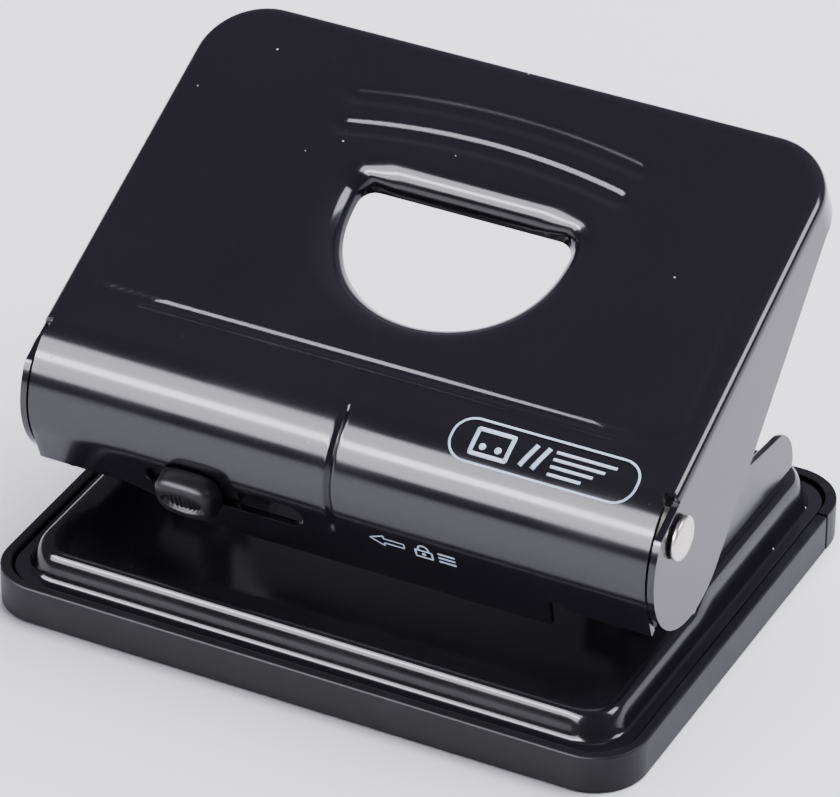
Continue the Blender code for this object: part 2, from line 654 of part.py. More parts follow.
def make_spring(side, name):
    """Coil spring between the guide bridge and the clip."""
    turns, per_turn, wire, radius = 6, 10, 0.4, 4.05
    low, high = BRIDGE_Z + GAP + wire, CLIP_Z - GAP - wire
    curve = bpy.data.curves.new("spring_path", "CURVE")
    curve.dimensions = "3D"
    curve.bevel_depth = wire * MM
    curve.bevel_resolution = 1
    curve.use_fill_caps = True
    spline = curve.splines.new("POLY")
    count = turns * per_turn
    spline.points.add(count)
    for k, point in enumerate(spline.points):
        angle = 2 * math.pi * k / per_turn
        height = low + (high - low) * k / count
        point.co = (radius * MM * math.cos(angle), radius * MM * math.sin(angle), height * MM, 1)
    spring = bpy.data.objects.new(name, curve)
    curve.materials.append(SPRING_STEEL)
    spring.location = (side * HOLE_PITCH / 2 * MM, PIN_Y * MM, 0)
    PARTS.objects.link(spring)


# ---------------------------------------------------------------- assembly

def hang_on(name, spot, *children):
    """Parent moving pieces to an empty on their joint's axis, without moving them."""
    axis = bpy.data.objects.new(name, None)
    axis.location = Vector(spot) * MM
    PARTS.objects.link(axis)
    bpy.context.view_layer.update()
    for child in children:
        child.parent = axis
        child.matrix_parent_inverse = axis.matrix_world.inverted()


def main():
    make_tray()
    make_rear_rail()
    make_base()
    make_frame()
    make_rivets()
    make_handle()
    make_lock_button()
    make_lock_bar()
    for side, name in ((-1, "left"), (1, "right")):
        make_guide_bridge(side, f"guide_bridge_{name}")
        make_pivot(side, name)
        make_drive_bracket(side, f"drive_bracket_{name}")
        make_punch_pin(side, name)
        make_spring(side, f"pin_spring_{name}")
    on_handle = ("handle_shell", "drive_bracket_left", "drive_bracket_right", "lock_button", "lock_bar")
    hang_on("handle_axis", (0, PIVOT_Y, PIVOT_Z), *[bpy.data.objects[name] for name in on_handle])
    hang_on("tray_axis", (0, SEAM_Y, HINGE_Z), bpy.data.objects["chip_tray"])


main()
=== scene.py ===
# %% [markdown]
# # A two-hole desk punch
#
# The real object is a small office tool: a pressed steel handle over a bent steel frame, two
# hardened pins with return springs, a pressed base plate and a plastic tray for the chips.
# Nearly all of it is thin sheet under gloss black enamel, so its look comes from how the sheet
# is bent and from what the enamel reflects. The lesson starts with the fixed frame that every
# piece is placed by.

# %% Load the fixed frame
import json
import math

import bmesh
import bpy
import numpy as np
from mathutils import Matrix, Vector


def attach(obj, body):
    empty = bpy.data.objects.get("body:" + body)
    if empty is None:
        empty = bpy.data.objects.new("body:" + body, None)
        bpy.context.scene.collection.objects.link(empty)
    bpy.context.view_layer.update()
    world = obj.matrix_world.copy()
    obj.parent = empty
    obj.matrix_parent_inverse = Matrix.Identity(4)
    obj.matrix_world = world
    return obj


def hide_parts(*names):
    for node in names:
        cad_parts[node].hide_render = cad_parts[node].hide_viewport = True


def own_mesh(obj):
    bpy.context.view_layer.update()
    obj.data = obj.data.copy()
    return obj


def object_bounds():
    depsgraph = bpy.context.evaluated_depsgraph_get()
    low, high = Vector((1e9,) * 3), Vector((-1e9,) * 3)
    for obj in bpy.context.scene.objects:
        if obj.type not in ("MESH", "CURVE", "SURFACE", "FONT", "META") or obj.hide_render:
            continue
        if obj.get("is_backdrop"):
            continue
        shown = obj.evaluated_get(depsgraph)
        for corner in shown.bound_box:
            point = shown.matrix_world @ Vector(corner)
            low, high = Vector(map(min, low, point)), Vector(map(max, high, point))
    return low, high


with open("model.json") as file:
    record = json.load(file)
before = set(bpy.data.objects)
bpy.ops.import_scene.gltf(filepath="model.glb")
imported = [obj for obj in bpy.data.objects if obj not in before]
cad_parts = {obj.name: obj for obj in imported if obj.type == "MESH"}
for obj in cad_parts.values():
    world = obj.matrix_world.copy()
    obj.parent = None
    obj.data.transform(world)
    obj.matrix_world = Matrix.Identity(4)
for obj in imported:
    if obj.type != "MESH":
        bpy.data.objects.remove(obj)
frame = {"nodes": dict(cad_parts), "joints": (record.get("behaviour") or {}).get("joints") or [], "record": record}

cad_box = [list(corner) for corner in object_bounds()]
record = frame["record"]
BODY_OF = {node: body for body, group in record["behaviour"]["bodies"].items() for node in group}
SLOT_OF = {piece["node"]: piece["material_slot"] for piece in record["subparts"]}
MM = 0.001
print("frame box:", cad_box, "nodes:", len(frame["nodes"]))

# %% [markdown]
# ## The camera, the floor and the lamps
#
# A long lens stands in front of the punch, a little to its right, and looks down at it. Gloss
# black shows only reflections, so the lamps are planned as things to be reflected: one big soft
# box in front, low enough to be seen in the rolled nose and not in the sloping panel, with a
# brighter core; a small box at the right for the far side of the opening's rolled edge; a pale
# floor; and a dim grey room. These boxes light reflections only. A wide lamp overhead lights the
# floor and is left out of reflections, because the panel would mirror it.

# %% Camera
AZIMUTH, ELEVATION = math.radians(26.99), math.radians(33.27)
DISTANCE, LENS, SENSOR = 0.984, 249.1, 36.0
AIM_Z, SHIFT_SIDE, SHIFT_RISE, TWIST = 0.01905, -0.0004, 0.01207, math.radians(0.19)
back = Vector((math.sin(AZIMUTH) * math.cos(ELEVATION),
               -math.cos(AZIMUTH) * math.cos(ELEVATION), math.sin(ELEVATION)))
side = Vector((math.cos(AZIMUTH), math.sin(AZIMUTH), 0.0))
rise = back.cross(side)
aim = Vector((0.0, 0.0, AIM_Z))
lens = bpy.data.cameras.new("camera")
lens.lens, lens.sensor_width = LENS, SENSOR
lens.clip_start, lens.clip_end = 0.05, 20.0
camera = bpy.data.objects.new("camera", lens)
bpy.context.scene.collection.objects.link(camera)
camera.matrix_world = (
    Matrix.Translation(aim + back * DISTANCE + side * SHIFT_SIDE + rise * SHIFT_RISE)
    @ Matrix((side, rise, back)).transposed().to_4x4()
    @ Matrix.Rotation(TWIST, 4, "Z"))
bpy.context.scene.camera = camera
print("camera at", tuple(round(v, 4) for v in camera.matrix_world.translation))


# %% Lamps and room
LAMP_TINT, ROOM_TINT, ROOM_STRENGTH = (0.90, 0.89, 1.0), (0.30, 0.285, 0.335, 1.0), 0.80
NOSE_SPOT, FLOOR_SPOT = (0.0, -0.03, 0.04), (0.5, 0.7, 0)


def lamp(name, place, target, size, watts, in_reflections=True, on_matt=True):
    """A soft box: a flat rectangle of light at a place, turned to face a target. It can be left out
    of reflections, or light reflections only."""
    data = bpy.data.lights.new(name, "AREA")
    data.shape, data.size, data.size_y, data.energy = "RECTANGLE", size[0], size[1], watts
    data.color = LAMP_TINT
    obj = bpy.data.objects.new(name, data)
    bpy.context.scene.collection.objects.link(obj)
    obj.location = place
    obj.rotation_euler = (Vector(target) - Vector(place)).to_track_quat("-Z", "Y").to_euler()
    obj.visible_glossy, obj.visible_diffuse = in_reflections, on_matt


lamp("front_box", (-0.42, -0.86, 0.66), NOSE_SPOT, (1.3, 0.86), 66.0, on_matt=False)
lamp("front_core", (-0.42, -0.80, 0.62), NOSE_SPOT, (1.3, 0.13), 26.0, on_matt=False)
lamp("right_box", (1.0, 0.30, 0.70), NOSE_SPOT, (0.5, 0.5), 14.0, on_matt=False)
lamp("ceiling", (0.7, 1.1, 1.9), FLOOR_SPOT, (2.6, 2.6), 250.0, in_reflections=False)
room = bpy.data.worlds.new("room")
room.use_nodes = True
room.node_tree.nodes["Background"].inputs["Color"].default_value = ROOM_TINT
room.node_tree.nodes["Background"].inputs["Strength"].default_value = ROOM_STRENGTH
bpy.context.scene.world = room

# %% [markdown]
# ## A small language for finishes
#
# Every finish below is worked out from where a point is on its piece. `Number` wraps one output
# of a node, so that plain arithmetic on it adds the Math nodes, and `Finish.node` adds any other
# node from its type, its settings and its sockets.


# %% Numbers and finishes
class Number:
    """One number per point of a surface; arithmetic on it adds Math nodes."""

    def __init__(self, finish, socket):
        self.finish, self.socket = finish, socket

    def __add__(self, other):
        return self.finish.math("ADD", self, other)

    def __sub__(self, other):
        return self.finish.math("SUBTRACT", self, other)

    def __rsub__(self, other):
        return self.finish.math("SUBTRACT", other, self)

    def __mul__(self, other):
        return self.finish.math("MULTIPLY", self, other)

    __radd__, __rmul__ = __add__, __mul__


CORE = 0.6    # share of a speck's radius that has its full colour


class Finish:
    """A material on one Principled shader, with the surface's own place as its only input."""

    def __init__(self, name, colour, roughness, metallic=0.0, **extra):
        self.material = bpy.data.materials.new(name)
        self.material.use_nodes = True
        self.tree = self.material.node_tree
        self.shader = self.tree.nodes["Principled BSDF"]
        plain = {"Base Color": (*colour, 1.0), "Roughness": roughness, "Metallic": metallic}
        for socket, value in {**plain, **extra}.items():
            self.shader.inputs[socket].default_value = value
        self.place = self.node("ShaderNodeTexCoord").outputs["Object"]

    def feed(self, socket, value):
        """Links a number or an output to a socket, or sets a plain value on it."""
        value = value.socket if isinstance(value, Number) else value
        if isinstance(value, bpy.types.NodeSocket):
            self.tree.links.new(value, socket)
        else:
            socket.default_value = value

    def node(self, kind, settings=None, sockets=None):
        """Any node, from its type, its settings and the values or links of its sockets."""
        made = self.tree.nodes.new(kind)
        for name, value in (settings or {}).items():
            setattr(made, name, value)
        for key, value in (sockets or {}).items():
            self.feed(made.inputs[key], value)
        return made

    def math(self, operation, first, second):
        """One Math node on two numbers."""
        made = self.node("ShaderNodeMath", {"operation": operation}, {0: first, 1: second})
        return Number(self, made.outputs[0])

    def noise(self, size_mm, detail=2.0, rough=0.5):
        """Soft cloud pattern, 0 to 1, whose blobs are about size_mm across."""
        made = self.node("ShaderNodeTexNoise", None,
                         {"Vector": self.place, "Scale": 1 / (size_mm * MM), "Detail": detail,
                          "Roughness": rough})
        return Number(self, made.outputs[0])

    def ramp(self, value, low, high):
        """0 below low, 1 above high, straight between."""
        made = self.node("ShaderNodeMapRange", {"clamp": True},
                         {"Value": value, "From Min": low, "From Max": high, "To Min": 0.0, "To Max": 1.0})
        return Number(self, made.outputs[0])

    def specks(self, cell_mm, radius, share):
        """Scattered dots: one per cell of a Voronoi pattern, kept in a share of the cells."""
        made = self.node("ShaderNodeTexVoronoi", {"feature": "F1"},
                         {"Vector": self.place, "Scale": 1 / (cell_mm * MM)})
        chance = self.node("ShaderNodeSeparateColor", None, {0: made.outputs["Color"]}).outputs[0]
        dot = 1 - self.ramp(made.outputs["Distance"], radius * CORE, radius)
        return dot * self.math("LESS_THAN", Number(self, chance), share)

    def blend(self, factor, first, second):
        """Colour between two colours by a number."""
        made = self.node("ShaderNodeMix", {"data_type": "RGBA"},
                         {0: factor, 6: (*first, 1.0), 7: (*second, 1.0)})
        return made.outputs[2]

    def relief(self, height, distance_mm):
        """Fine relief of the surface: heights 0 to 1 stand for distance_mm."""
        made = self.node("ShaderNodeBump", None,
                         {"Height": height, "Distance": distance_mm * MM, "Strength": 1.0})
        self.feed(self.shader.inputs["Normal"], made.outputs[0])

    def paint(self, socket, value):
        """Gives one of the shader's sockets a value that varies over the surface."""
        self.feed(self.shader.inputs[socket], value)


print("shader language ready")

# %% [markdown]
# ## The finishes
#
# The enamel is glass-smooth with a faint orange peel, a few dust specks caught in it and soft
# wipe marks. The tray is satin moulded plastic with a fine grain. Small hardware is plated:
# nickel on the rivet heads, zinc on the brackets, plain drawn steel on the springs.

# %% Gloss enamel
ENAMEL_BLACK, DUST_GREY = (0.0075, 0.0067, 0.0092), (0.42, 0.41, 0.45)
enamel = Finish("gloss_black_enamel", ENAMEL_BLACK, 0.13, IOR=1.44)
dust = enamel.specks(5.0, 0.045, 0.33)
fine_dust = enamel.specks(2.1, 0.040, 0.10)
haze = enamel.ramp(enamel.noise(26.0, 3.0), 0.38, 0.72)
enamel.paint("Base Color", enamel.blend(enamel.math("MAXIMUM", dust, fine_dust * 0.35),
                                        ENAMEL_BLACK, DUST_GREY))
enamel.paint("Roughness", 0.12 + haze * 0.06 + dust * 0.4)
enamel.relief(enamel.noise(2.6, 1.0) * 0.8 + enamel.noise(0.5, 0.0) * 0.06 + dust * 0.5, 0.0045)
print("enamel nodes:", len(enamel.tree.nodes))

# %% Plastics
TRAY_BLACK, TRAY_SCUFF = (0.006, 0.0057, 0.0072), (0.018, 0.0175, 0.021)
satin = Finish("satin_black_plastic", TRAY_BLACK, 0.42, IOR=1.28)
grain = satin.noise(0.22, 2.0, 0.7)
scuff = satin.ramp(satin.noise(9.0, 4.0, 0.65), 0.55, 0.75)
satin.paint("Base Color", satin.blend(scuff * 0.5 + satin.specks(3.0, 0.05, 0.15) * 0.5,
                                      TRAY_BLACK, TRAY_SCUFF))
satin.paint("Roughness", 0.40 + grain * 0.10 + scuff * 0.06)
satin.relief(grain, 0.010)

GRIP_BLACK, GRIP_WORN = (0.005, 0.0048, 0.0055), (0.012, 0.0116, 0.0135)
grip = Finish("grip_black_plastic", GRIP_BLACK, 0.34, IOR=1.3)
grip_grain = grip.noise(0.15, 2.0, 0.7)
grip.paint("Base Color", grip.blend(grip.ramp(grip.noise(1.6), 0.45, 0.75) * 0.4,
                                    GRIP_BLACK, GRIP_WORN))
grip.paint("Roughness", 0.33 + grip_grain * 0.14)
grip.relief(grip_grain, 0.006)

nylon = Finish("natural_nylon", (0.62, 0.60, 0.54), 0.5)
nylon.paint("Base Color", nylon.blend(nylon.noise(2.0), (0.66, 0.64, 0.58), (0.56, 0.54, 0.48)))
nylon.relief(nylon.noise(0.3), 0.01)
print("enamel and plastics mixed")


# %% Metals
def plated(name, bright, dull, roughness, streak_mm, relief_mm):
    """Plated or drawn metal: colour drifts between bright and dull, with fine streaks."""
    metal = Finish(name, bright, roughness, 1.0)
    cloud, streak = metal.noise(3.2, 3.0), metal.noise(streak_mm, 3.0, 0.7)
    drift = metal.ramp(cloud * 0.7 + streak * 0.3, 0.35, 0.65)
    metal.paint("Base Color", metal.blend(drift, bright, dull))
    metal.paint("Roughness", roughness - 0.06 + streak * 0.16)
    metal.relief(streak, relief_mm)
    return metal


nickel = plated("worn_nickel", (0.80, 0.76, 0.70), (0.62, 0.58, 0.53), 0.27, 0.35, 0.006)
zinc = plated("bright_zinc", (0.66, 0.67, 0.69), (0.50, 0.51, 0.54), 0.34, 0.5, 0.006)
drawn = plated("drawn_spring_steel", (0.50, 0.50, 0.52), (0.34, 0.34, 0.36), 0.30, 0.2, 0.004)
ground = plated("ground_steel", (0.62, 0.62, 0.64), (0.48, 0.48, 0.50), 0.24, 0.15, 0.003)
ink = Finish("printed_pale_ink", (0.46, 0.53, 0.64), 0.45)
ink.paint("Base Color", ink.blend(ink.noise(0.5, 3.0), (0.39, 0.48, 0.62), (0.52, 0.60, 0.73)))
FINISHES = {"black_gloss_paint": enamel, "black_tray_plastic": satin, "black_grip_plastic": grip,
            "nickel_plate": nickel, "white_nylon": nylon, "spring_steel": drawn,
            "hardened_steel": ground, "zinc_plated_steel": zinc}
print("finishes:", sorted(f.material.name for f in FINISHES.values()))

# %% [markdown]
# ## Making surfaces
#
# Nearly every piece is one of three things: a grid of points worked out by a formula, a profile
# turned about an axis, or an outline carried straight along an axis. Walls, drilled holes and
# broken edges are added afterwards, as they are in a workshop. The brackets and the lock bar are
# the frame's own, with their edges broken.


# %% Grids and meshes
def smooth(low, high, value):
    """0 below low, 1 above high, and 3t^2 - 2t^3 between."""
    share = np.clip((value - low) / (high - low), 0.0, 1.0)
    return share * share * (3 - 2 * share)


def quads(rows, cols, ring=False):
    """Corner numbers of the faces between neighbouring grid points; a ring closes on itself."""
    i, j = np.meshgrid(np.arange(rows - 1), np.arange(cols if ring else cols - 1), indexing="ij")
    k = (j + 1) % cols
    corners = np.stack([i * cols + j, i * cols + k, (i + 1) * cols + k, (i + 1) * cols + j], -1)
    return corners.reshape(-1, 4)


def surface(name, *patches):
    """One welded mesh from grids of points in millimetres; a patch is points or (points, ring)."""
    points, faces, start = [], [], 0
    for patch in patches:
        grid, ring = patch if isinstance(patch, tuple) else (patch, False)
        rows, cols = grid.shape[:2]
        points.append(grid.reshape(-1, 3))
        faces.append(quads(rows, cols, ring) + start)
        start += rows * cols
    return mesh_object(name, np.concatenate(points) * MM, np.concatenate(faces).tolist())


WELD, SLIVER = 0.002 * MM, 0.001 * MM


def mesh_object(name, points, faces):
    """A linked object whose mesh is welded and whose faces agree, outward on a closed shape."""
    mesh = bpy.data.meshes.new(name)
    mesh.from_pydata(points.tolist(), [], faces)
    body = bmesh.new()
    body.from_mesh(mesh)
    bmesh.ops.remove_doubles(body, verts=body.verts, dist=WELD)
    bmesh.ops.dissolve_degenerate(body, edges=body.edges, dist=SLIVER)
    bmesh.ops.recalc_face_normals(body, faces=body.faces)
    is_open = any(edge.is_boundary for edge in body.edges)
    if is_open and sum((f.normal.z * f.calc_area() for f in body.faces), 0.0) < 0:
        bmesh.ops.reverse_faces(body, faces=body.faces)
    body.to_mesh(mesh)
    body.free()
    mesh.shade_smooth()
    obj = bpy.data.objects.new(name, mesh)
    bpy.context.scene.collection.objects.link(obj)
    return obj


def turned(name, profile, axis="Z", centre=(0.0, 0.0, 0.0), steps=64):
    """A profile of (radius, height) turned about an axis through a centre."""
    radius, height = np.array(profile, float).T
    turn = np.linspace(0, 2 * np.pi, steps, endpoint=False)[:, None]
    u, v, w = radius * np.cos(turn), radius * np.sin(turn), height + 0 * turn
    order = (u, v, w) if axis == "Z" else (w, u, v)
    return surface(name, ((np.stack(order, -1) + np.array(centre)).transpose(1, 0, 2), True))


def slab(name, outline, low, high, axis="Z"):
    """An outline (u, v) carried straight along an axis from low to high, with flat ends."""
    u, v = np.array(outline, float).T
    ends = []
    for station in (low, high):
        w = np.full_like(u, station)
        ends.append(np.stack({"X": (w, u, v), "Y": (u, w, v), "Z": (u, v, w)}[axis], -1))
    count = len(u)
    walls = quads(2, count, True).tolist()
    caps = [list(range(count)), list(range(count, 2 * count))]
    return mesh_object(name, np.concatenate(ends) * MM, walls + caps)


def arc(cx, cy, radius, start, end, count):
    """Points of an arc; angles in degrees."""
    turn = np.radians(np.linspace(start, end, count + 1))
    return list(zip(cx + radius * np.cos(turn), cy + radius * np.sin(turn)))


print("mesh tools ready")


# %% Finishing a piece
SHARP_ANGLE = math.radians(40)


def settle(obj, wall=0.0, outward=False, even=True, joined=(), drilled=(), edge=0.0, segments=2):
    """Adds the sheet's wall, welds on solids, drills holes and breaks sharp edges, then keeps the
    result as the piece's own mesh."""
    if wall:
        sheet = obj.modifiers.new("wall", "SOLIDIFY")
        sheet.thickness, sheet.offset = wall * MM, (1 if outward else -1)
        sheet.use_even_offset = even
    for other, operation in [(o, "UNION") for o in joined] + [(o, "DIFFERENCE") for o in drilled]:
        cut = obj.modifiers.new("cut", "BOOLEAN")
        cut.operation, cut.object, cut.solver = operation, other, "EXACT"
    if edge:
        bevel = obj.modifiers.new("edge", "BEVEL")
        bevel.width, bevel.segments, bevel.limit_method = edge * MM, segments, "ANGLE"
        bevel.angle_limit = SHARP_ANGLE
        bevel.use_clamp_overlap = True
        obj.modifiers.new("flats", "WEIGHTED_NORMAL").keep_sharp = True
    bpy.context.view_layer.update()
    kept = bpy.data.meshes.new_from_object(obj.evaluated_get(bpy.context.evaluated_depsgraph_get()))
    obj.modifiers.clear()
    obj.data = kept
    kept.name = obj.name
    for other in (*joined, *drilled):
        bpy.data.objects.remove(other)
    return obj


def stand_for(obj, *nodes):
    """The piece takes the place, the body and the finish of CAD nodes."""
    slot = SLOT_OF[nodes[0]]
    obj.data.materials.clear()
    obj.data.materials.append(FINISHES[slot].material)
    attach(obj, BODY_OF[nodes[0]])
    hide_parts(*nodes)
    print(f"{obj.name}: {len(obj.data.polygons)} faces on {BODY_OF[nodes[0]]}")
    return obj


# %% [markdown]
# ## The handle
#
# The handle is one pressed sheet. Its outer face is followed by two numbers: x across, and a
# length `along` that is positive up the sloping panel and negative round the nose roll and down
# the flat lower face. The panel carries a D-shaped opening with a drawn-down collar, two arched
# channels behind it and a border line. A ring of grid lines runs from the opening to the edge,
# so the fine forms get fine cells where they are.

# %% The outer face
SHEET = 1.2
SLOPE = math.radians(25.2)
NOSE_Y, NOSE_Z, NOSE_R = -18.8, 34.0, 14.6
ROLL_START, ROLL_END = math.pi / 2 + SLOPE, math.radians(200.0)
ROLL_LEN = NOSE_R * (ROLL_END - ROLL_START)
FACE_TILT = ROLL_END - math.pi
HALF_W, BEND_R, PANEL_LEN, PANEL_R, SKIRT = 58.6, 2.2, 71.0, 12.0, 8.5
FRONT_W = HALF_W - BEND_R


def shell_point(x, along, lift=0.0):
    """The point x across and so far along the outer face: straight up the panel above 0, round
    the nose circle below 0, then straight down; lift is outward."""
    x, along = np.broadcast_arrays(np.asarray(x, float), np.asarray(along, float))
    turn = ROLL_START + np.clip(-along, 0, ROLL_LEN) / NOSE_R
    up, down = np.maximum(along, 0), np.maximum(-along - ROLL_LEN, 0)
    y = NOSE_Y + (NOSE_R + lift) * np.cos(turn) + up * math.cos(SLOPE) + down * math.sin(FACE_TILT)
    z = NOSE_Z + (NOSE_R + lift) * np.sin(turn) + up * math.sin(SLOPE) - down * math.cos(FACE_TILT)
    return np.stack([x, y, z], -1)


print("panel starts at", shell_point(0.0, 0.0).round(2), "and ends at", shell_point(0.0, PANEL_LEN).round(2))

# %% The D-shaped opening
D_REAR, D_FRONT, D_HALF, D_CORNER = 42.1, 18.9, 19.8, 3.0
D_MID_X, D_MIDDLE = 1.2, 31.5
COLLAR_R, COLLAR_TILT, COLLAR_DEPTH = 5.4, math.radians(65), 4.2
CORNER_POINTS, BOW_POINTS, FLAT_POINTS = 25, 400, 60


def d_line(outset, toward):
    """The opening's outline, grown by an outset, read at directions from its middle."""
    half, corner = D_HALF + outset, D_CORNER + outset
    corner_s = D_REAR - D_CORNER
    depth = corner_s - D_FRONT + outset
    turn = np.linspace(math.pi, 2 * math.pi, BOW_POINTS)
    bow = np.stack([half * np.cos(turn), corner_s - depth * np.abs(np.sin(turn)) ** 0.85], -1)
    shoulder_x = half - corner
    right = arc(shoulder_x, corner_s, corner, 0, 90, CORNER_POINTS - 1)
    left = arc(-shoulder_x, corner_s, corner, 90, 180, CORNER_POINTS - 1)
    flat = np.stack([np.linspace(shoulder_x, -shoulder_x, FLAT_POINTS),
                     np.full(FLAT_POINTS, corner_s + corner)], -1)
    line = np.concatenate([right, flat, left, bow]) + (D_MID_X, 0.0)
    angle = np.arctan2(line[:, 1] - D_MIDDLE, line[:, 0]) % (2 * np.pi)
    radius = np.hypot(line[:, 0], line[:, 1] - D_MIDDLE)
    order = np.argsort(angle)
    reach = np.interp(toward, angle[order], radius[order], period=2 * np.pi)
    return np.stack([reach * np.cos(toward), D_MIDDLE + reach * np.sin(toward)], -1)


# %% The panel's edge
SIDE_STEPS, CORNER_STEPS, REAR_STEPS = 60, 16, 96


def edge_line(inset):
    """The panel's bent edge at an inset: up the right side, round the rear, down the left side."""
    corner_s, corner_x, radius = PANEL_LEN - PANEL_R, HALF_W - PANEL_R, PANEL_R - inset
    straight = np.linspace(0, corner_s, SIDE_STEPS, endpoint=False)
    right = np.stack([np.full(SIDE_STEPS, HALF_W - inset), straight], -1)
    bend = np.array(arc(corner_x, corner_s, radius, 0, 90, CORNER_STEPS))
    rear_x = np.linspace(corner_x, -corner_x, REAR_STEPS + 1)[1:-1]
    rear = np.stack([rear_x, np.full(len(rear_x), PANEL_LEN - inset)], -1)
    mirrored = np.concatenate([right, bend])[::-1] * (-1, 1)
    return np.concatenate([right, bend, rear, mirrored])


def spaced(*stops):
    """Stations between stops (place, step), each stretch with its own step."""
    runs = [np.linspace(a, b, max(int(round((b - a) / step)), 1), endpoint=False)
            for (a, step), (b, _) in zip(stops, stops[1:])]
    return np.concatenate([*runs, [stops[-1][0]]])


# the front edge's stations stand closer at the middle notch and at the right flap's edge
front_x = spaced((-FRONT_W, 1.1), (-44, 0.9), (-2.6, 0.26), (1.6, 0.9), (37.4, 0.2), (38.6, 0.7), (41.4, 0.2),
                 (42.0, 1.0), (FRONT_W, 1.0))
outer = np.concatenate([edge_line(BEND_R), np.stack([front_x[1:-1], np.zeros(len(front_x) - 2)], -1)])
print("edge stations:", len(outer), "of which front:", len(front_x))

# %% [markdown]
# The press forms are heights above the plain panel. A channel is a racetrack about an arched
# centre line with soft walls. The border is a step line with a fine bead in front of it; the
# strip outside it falls away from the line to the edge, and the line fades towards the rear.


# %% Press forms
def channel(x, along, half_len, end_s, mid_s, half_w, wall, depth):
    """Height, never above 0, inside a racetrack about the parabola from end_s to mid_s, with soft
    walls: half_len and half_w are half its length and width, and depth is that of its floor."""
    centre = mid_s - (mid_s - end_s) * (x / half_len) ** 2
    away = np.hypot(along - centre, np.maximum(np.abs(x) - half_len, 0))
    return -depth * (1 - smooth(half_w - wall, half_w, away))


def corner_distance(a, b, radius):
    """Distance inside two straight sides that meet in a rounded corner."""
    rounded = radius - np.hypot(np.maximum(radius - a, 0), np.maximum(radius - b, 0))
    return np.where((a > radius) & (b > radius), np.minimum(a, b), rounded)


BORDER_LEFT, BORDER_RIGHT, BORDER_FRONT = -52.3, 54.9, 8.3
LEFT_LEAN, RIGHT_LEAN = (1.3, 8.7, 37.0), (3.9, 13.0, 47.0)    # inwards by, from, over a length of
LEFT_R, RIGHT_R = 0.8, 6.0
STEP_H, CORNER_H, BEAD_H, BEAD_PLACE, BEAD_W = 0.34, 0.16, 0.20, 1.25, 0.5
CORNER_SPOT, CORNER_SPREAD = (-51.5, 9.5), 60.0
LOWER_CHANNEL = (25.5, 50.6, 53.2, 2.3, 1.7, 0.50)
UPPER_CHANNEL = (26.5, 57.0, 59.5, 2.2, 1.8, 0.42)


def lean(along, by, start, run):
    """How far a border's side has come in at a station: nothing before start, all of it a run later."""
    return by * np.clip((along - start) / run, 0, 1)


def press_forms(x, along, to_edge):
    """Height of the panel's embossing, with the distance to the panel's edge given."""
    left = x - BORDER_LEFT - lean(along, *LEFT_LEAN)
    right = BORDER_RIGHT - lean(along, *RIGHT_LEAN) - x
    front = along - BORDER_FRONT
    inside = np.minimum(corner_distance(left, front, LEFT_R), corner_distance(right, front, RIGHT_R))
    fade = np.where(x < 0, 1 - smooth(16, 48, along), 1 - smooth(20, 62, along))
    outside = to_edge / (to_edge + np.maximum(-inside, 0) + 1e-6)
    step = (smooth(-0.25, 1.15, inside) - 1) * np.where(inside < 0, outside, 1.0)
    bead = np.exp(-((inside + BEAD_PLACE) / BEAD_W) ** 2) * (1 - smooth(8.5, 15, along))
    spot_x, spot_s = CORNER_SPOT
    near_corner = np.exp(-((x - spot_x) ** 2 + (along - spot_s) ** 2) / CORNER_SPREAD)
    border = fade * ((STEP_H + CORNER_H * near_corner) * step + BEAD_H * bead)
    return border + channel(x, along, *LOWER_CHANNEL) + channel(x, along, *UPPER_CHANNEL)


FIELD_ROWS = 74
toward = np.arctan2(outer[:, 1] - D_MIDDLE, outer[:, 0]) % (2 * np.pi)
tilt = np.append(COLLAR_TILT, np.linspace(COLLAR_TILT, 0, 12))[:, None]
fall = COLLAR_R * (1 - np.cos(tilt))
fall[0] = COLLAR_DEPTH
aside = COLLAR_R * np.sin(tilt)
aside[0] += (fall[0] - fall[1]) / math.tan(COLLAR_TILT)
d_edge, d_rim = d_line(0.0, toward), d_line(aside[0, 0], toward)
rolled = d_rim + (d_edge - d_rim) * (aside / aside[0])[..., None]
roll_lift = -fall + np.zeros(len(outer))
reach = np.linspace(0, 1, FIELD_ROWS)[1:, None, None]
field = d_rim + (outer - d_rim) * reach
to_edge = np.linalg.norm(field - outer, axis=-1)
plan = np.concatenate([rolled, field])
lift = np.concatenate([roll_lift, press_forms(field[..., 0], field[..., 1], to_edge)])
lift[-1] = 0.0
PANEL_OUT = np.array([0.0, -math.sin(SLOPE), math.cos(SLOPE)])
panel = shell_point(plan[..., 0], plan[..., 1]) + lift[..., None] * PANEL_OUT
print("panel grid:", panel.shape, "deepest form:", lift[len(rolled):].min().round(2), "mm")

# %% [markdown]
# The bend carries on from the panel's edge on a quarter circle. Round the rear it ends in a
# skirt. At each side it ends in a flat flange, ruled between the crease and a free edge that
# runs round the same circle as the nose. The nose itself is a separate roll, parted from the
# flanges by a slit, with a short flap at each end and a longer tongue between them. A shallow
# groove runs down the roll near its middle.

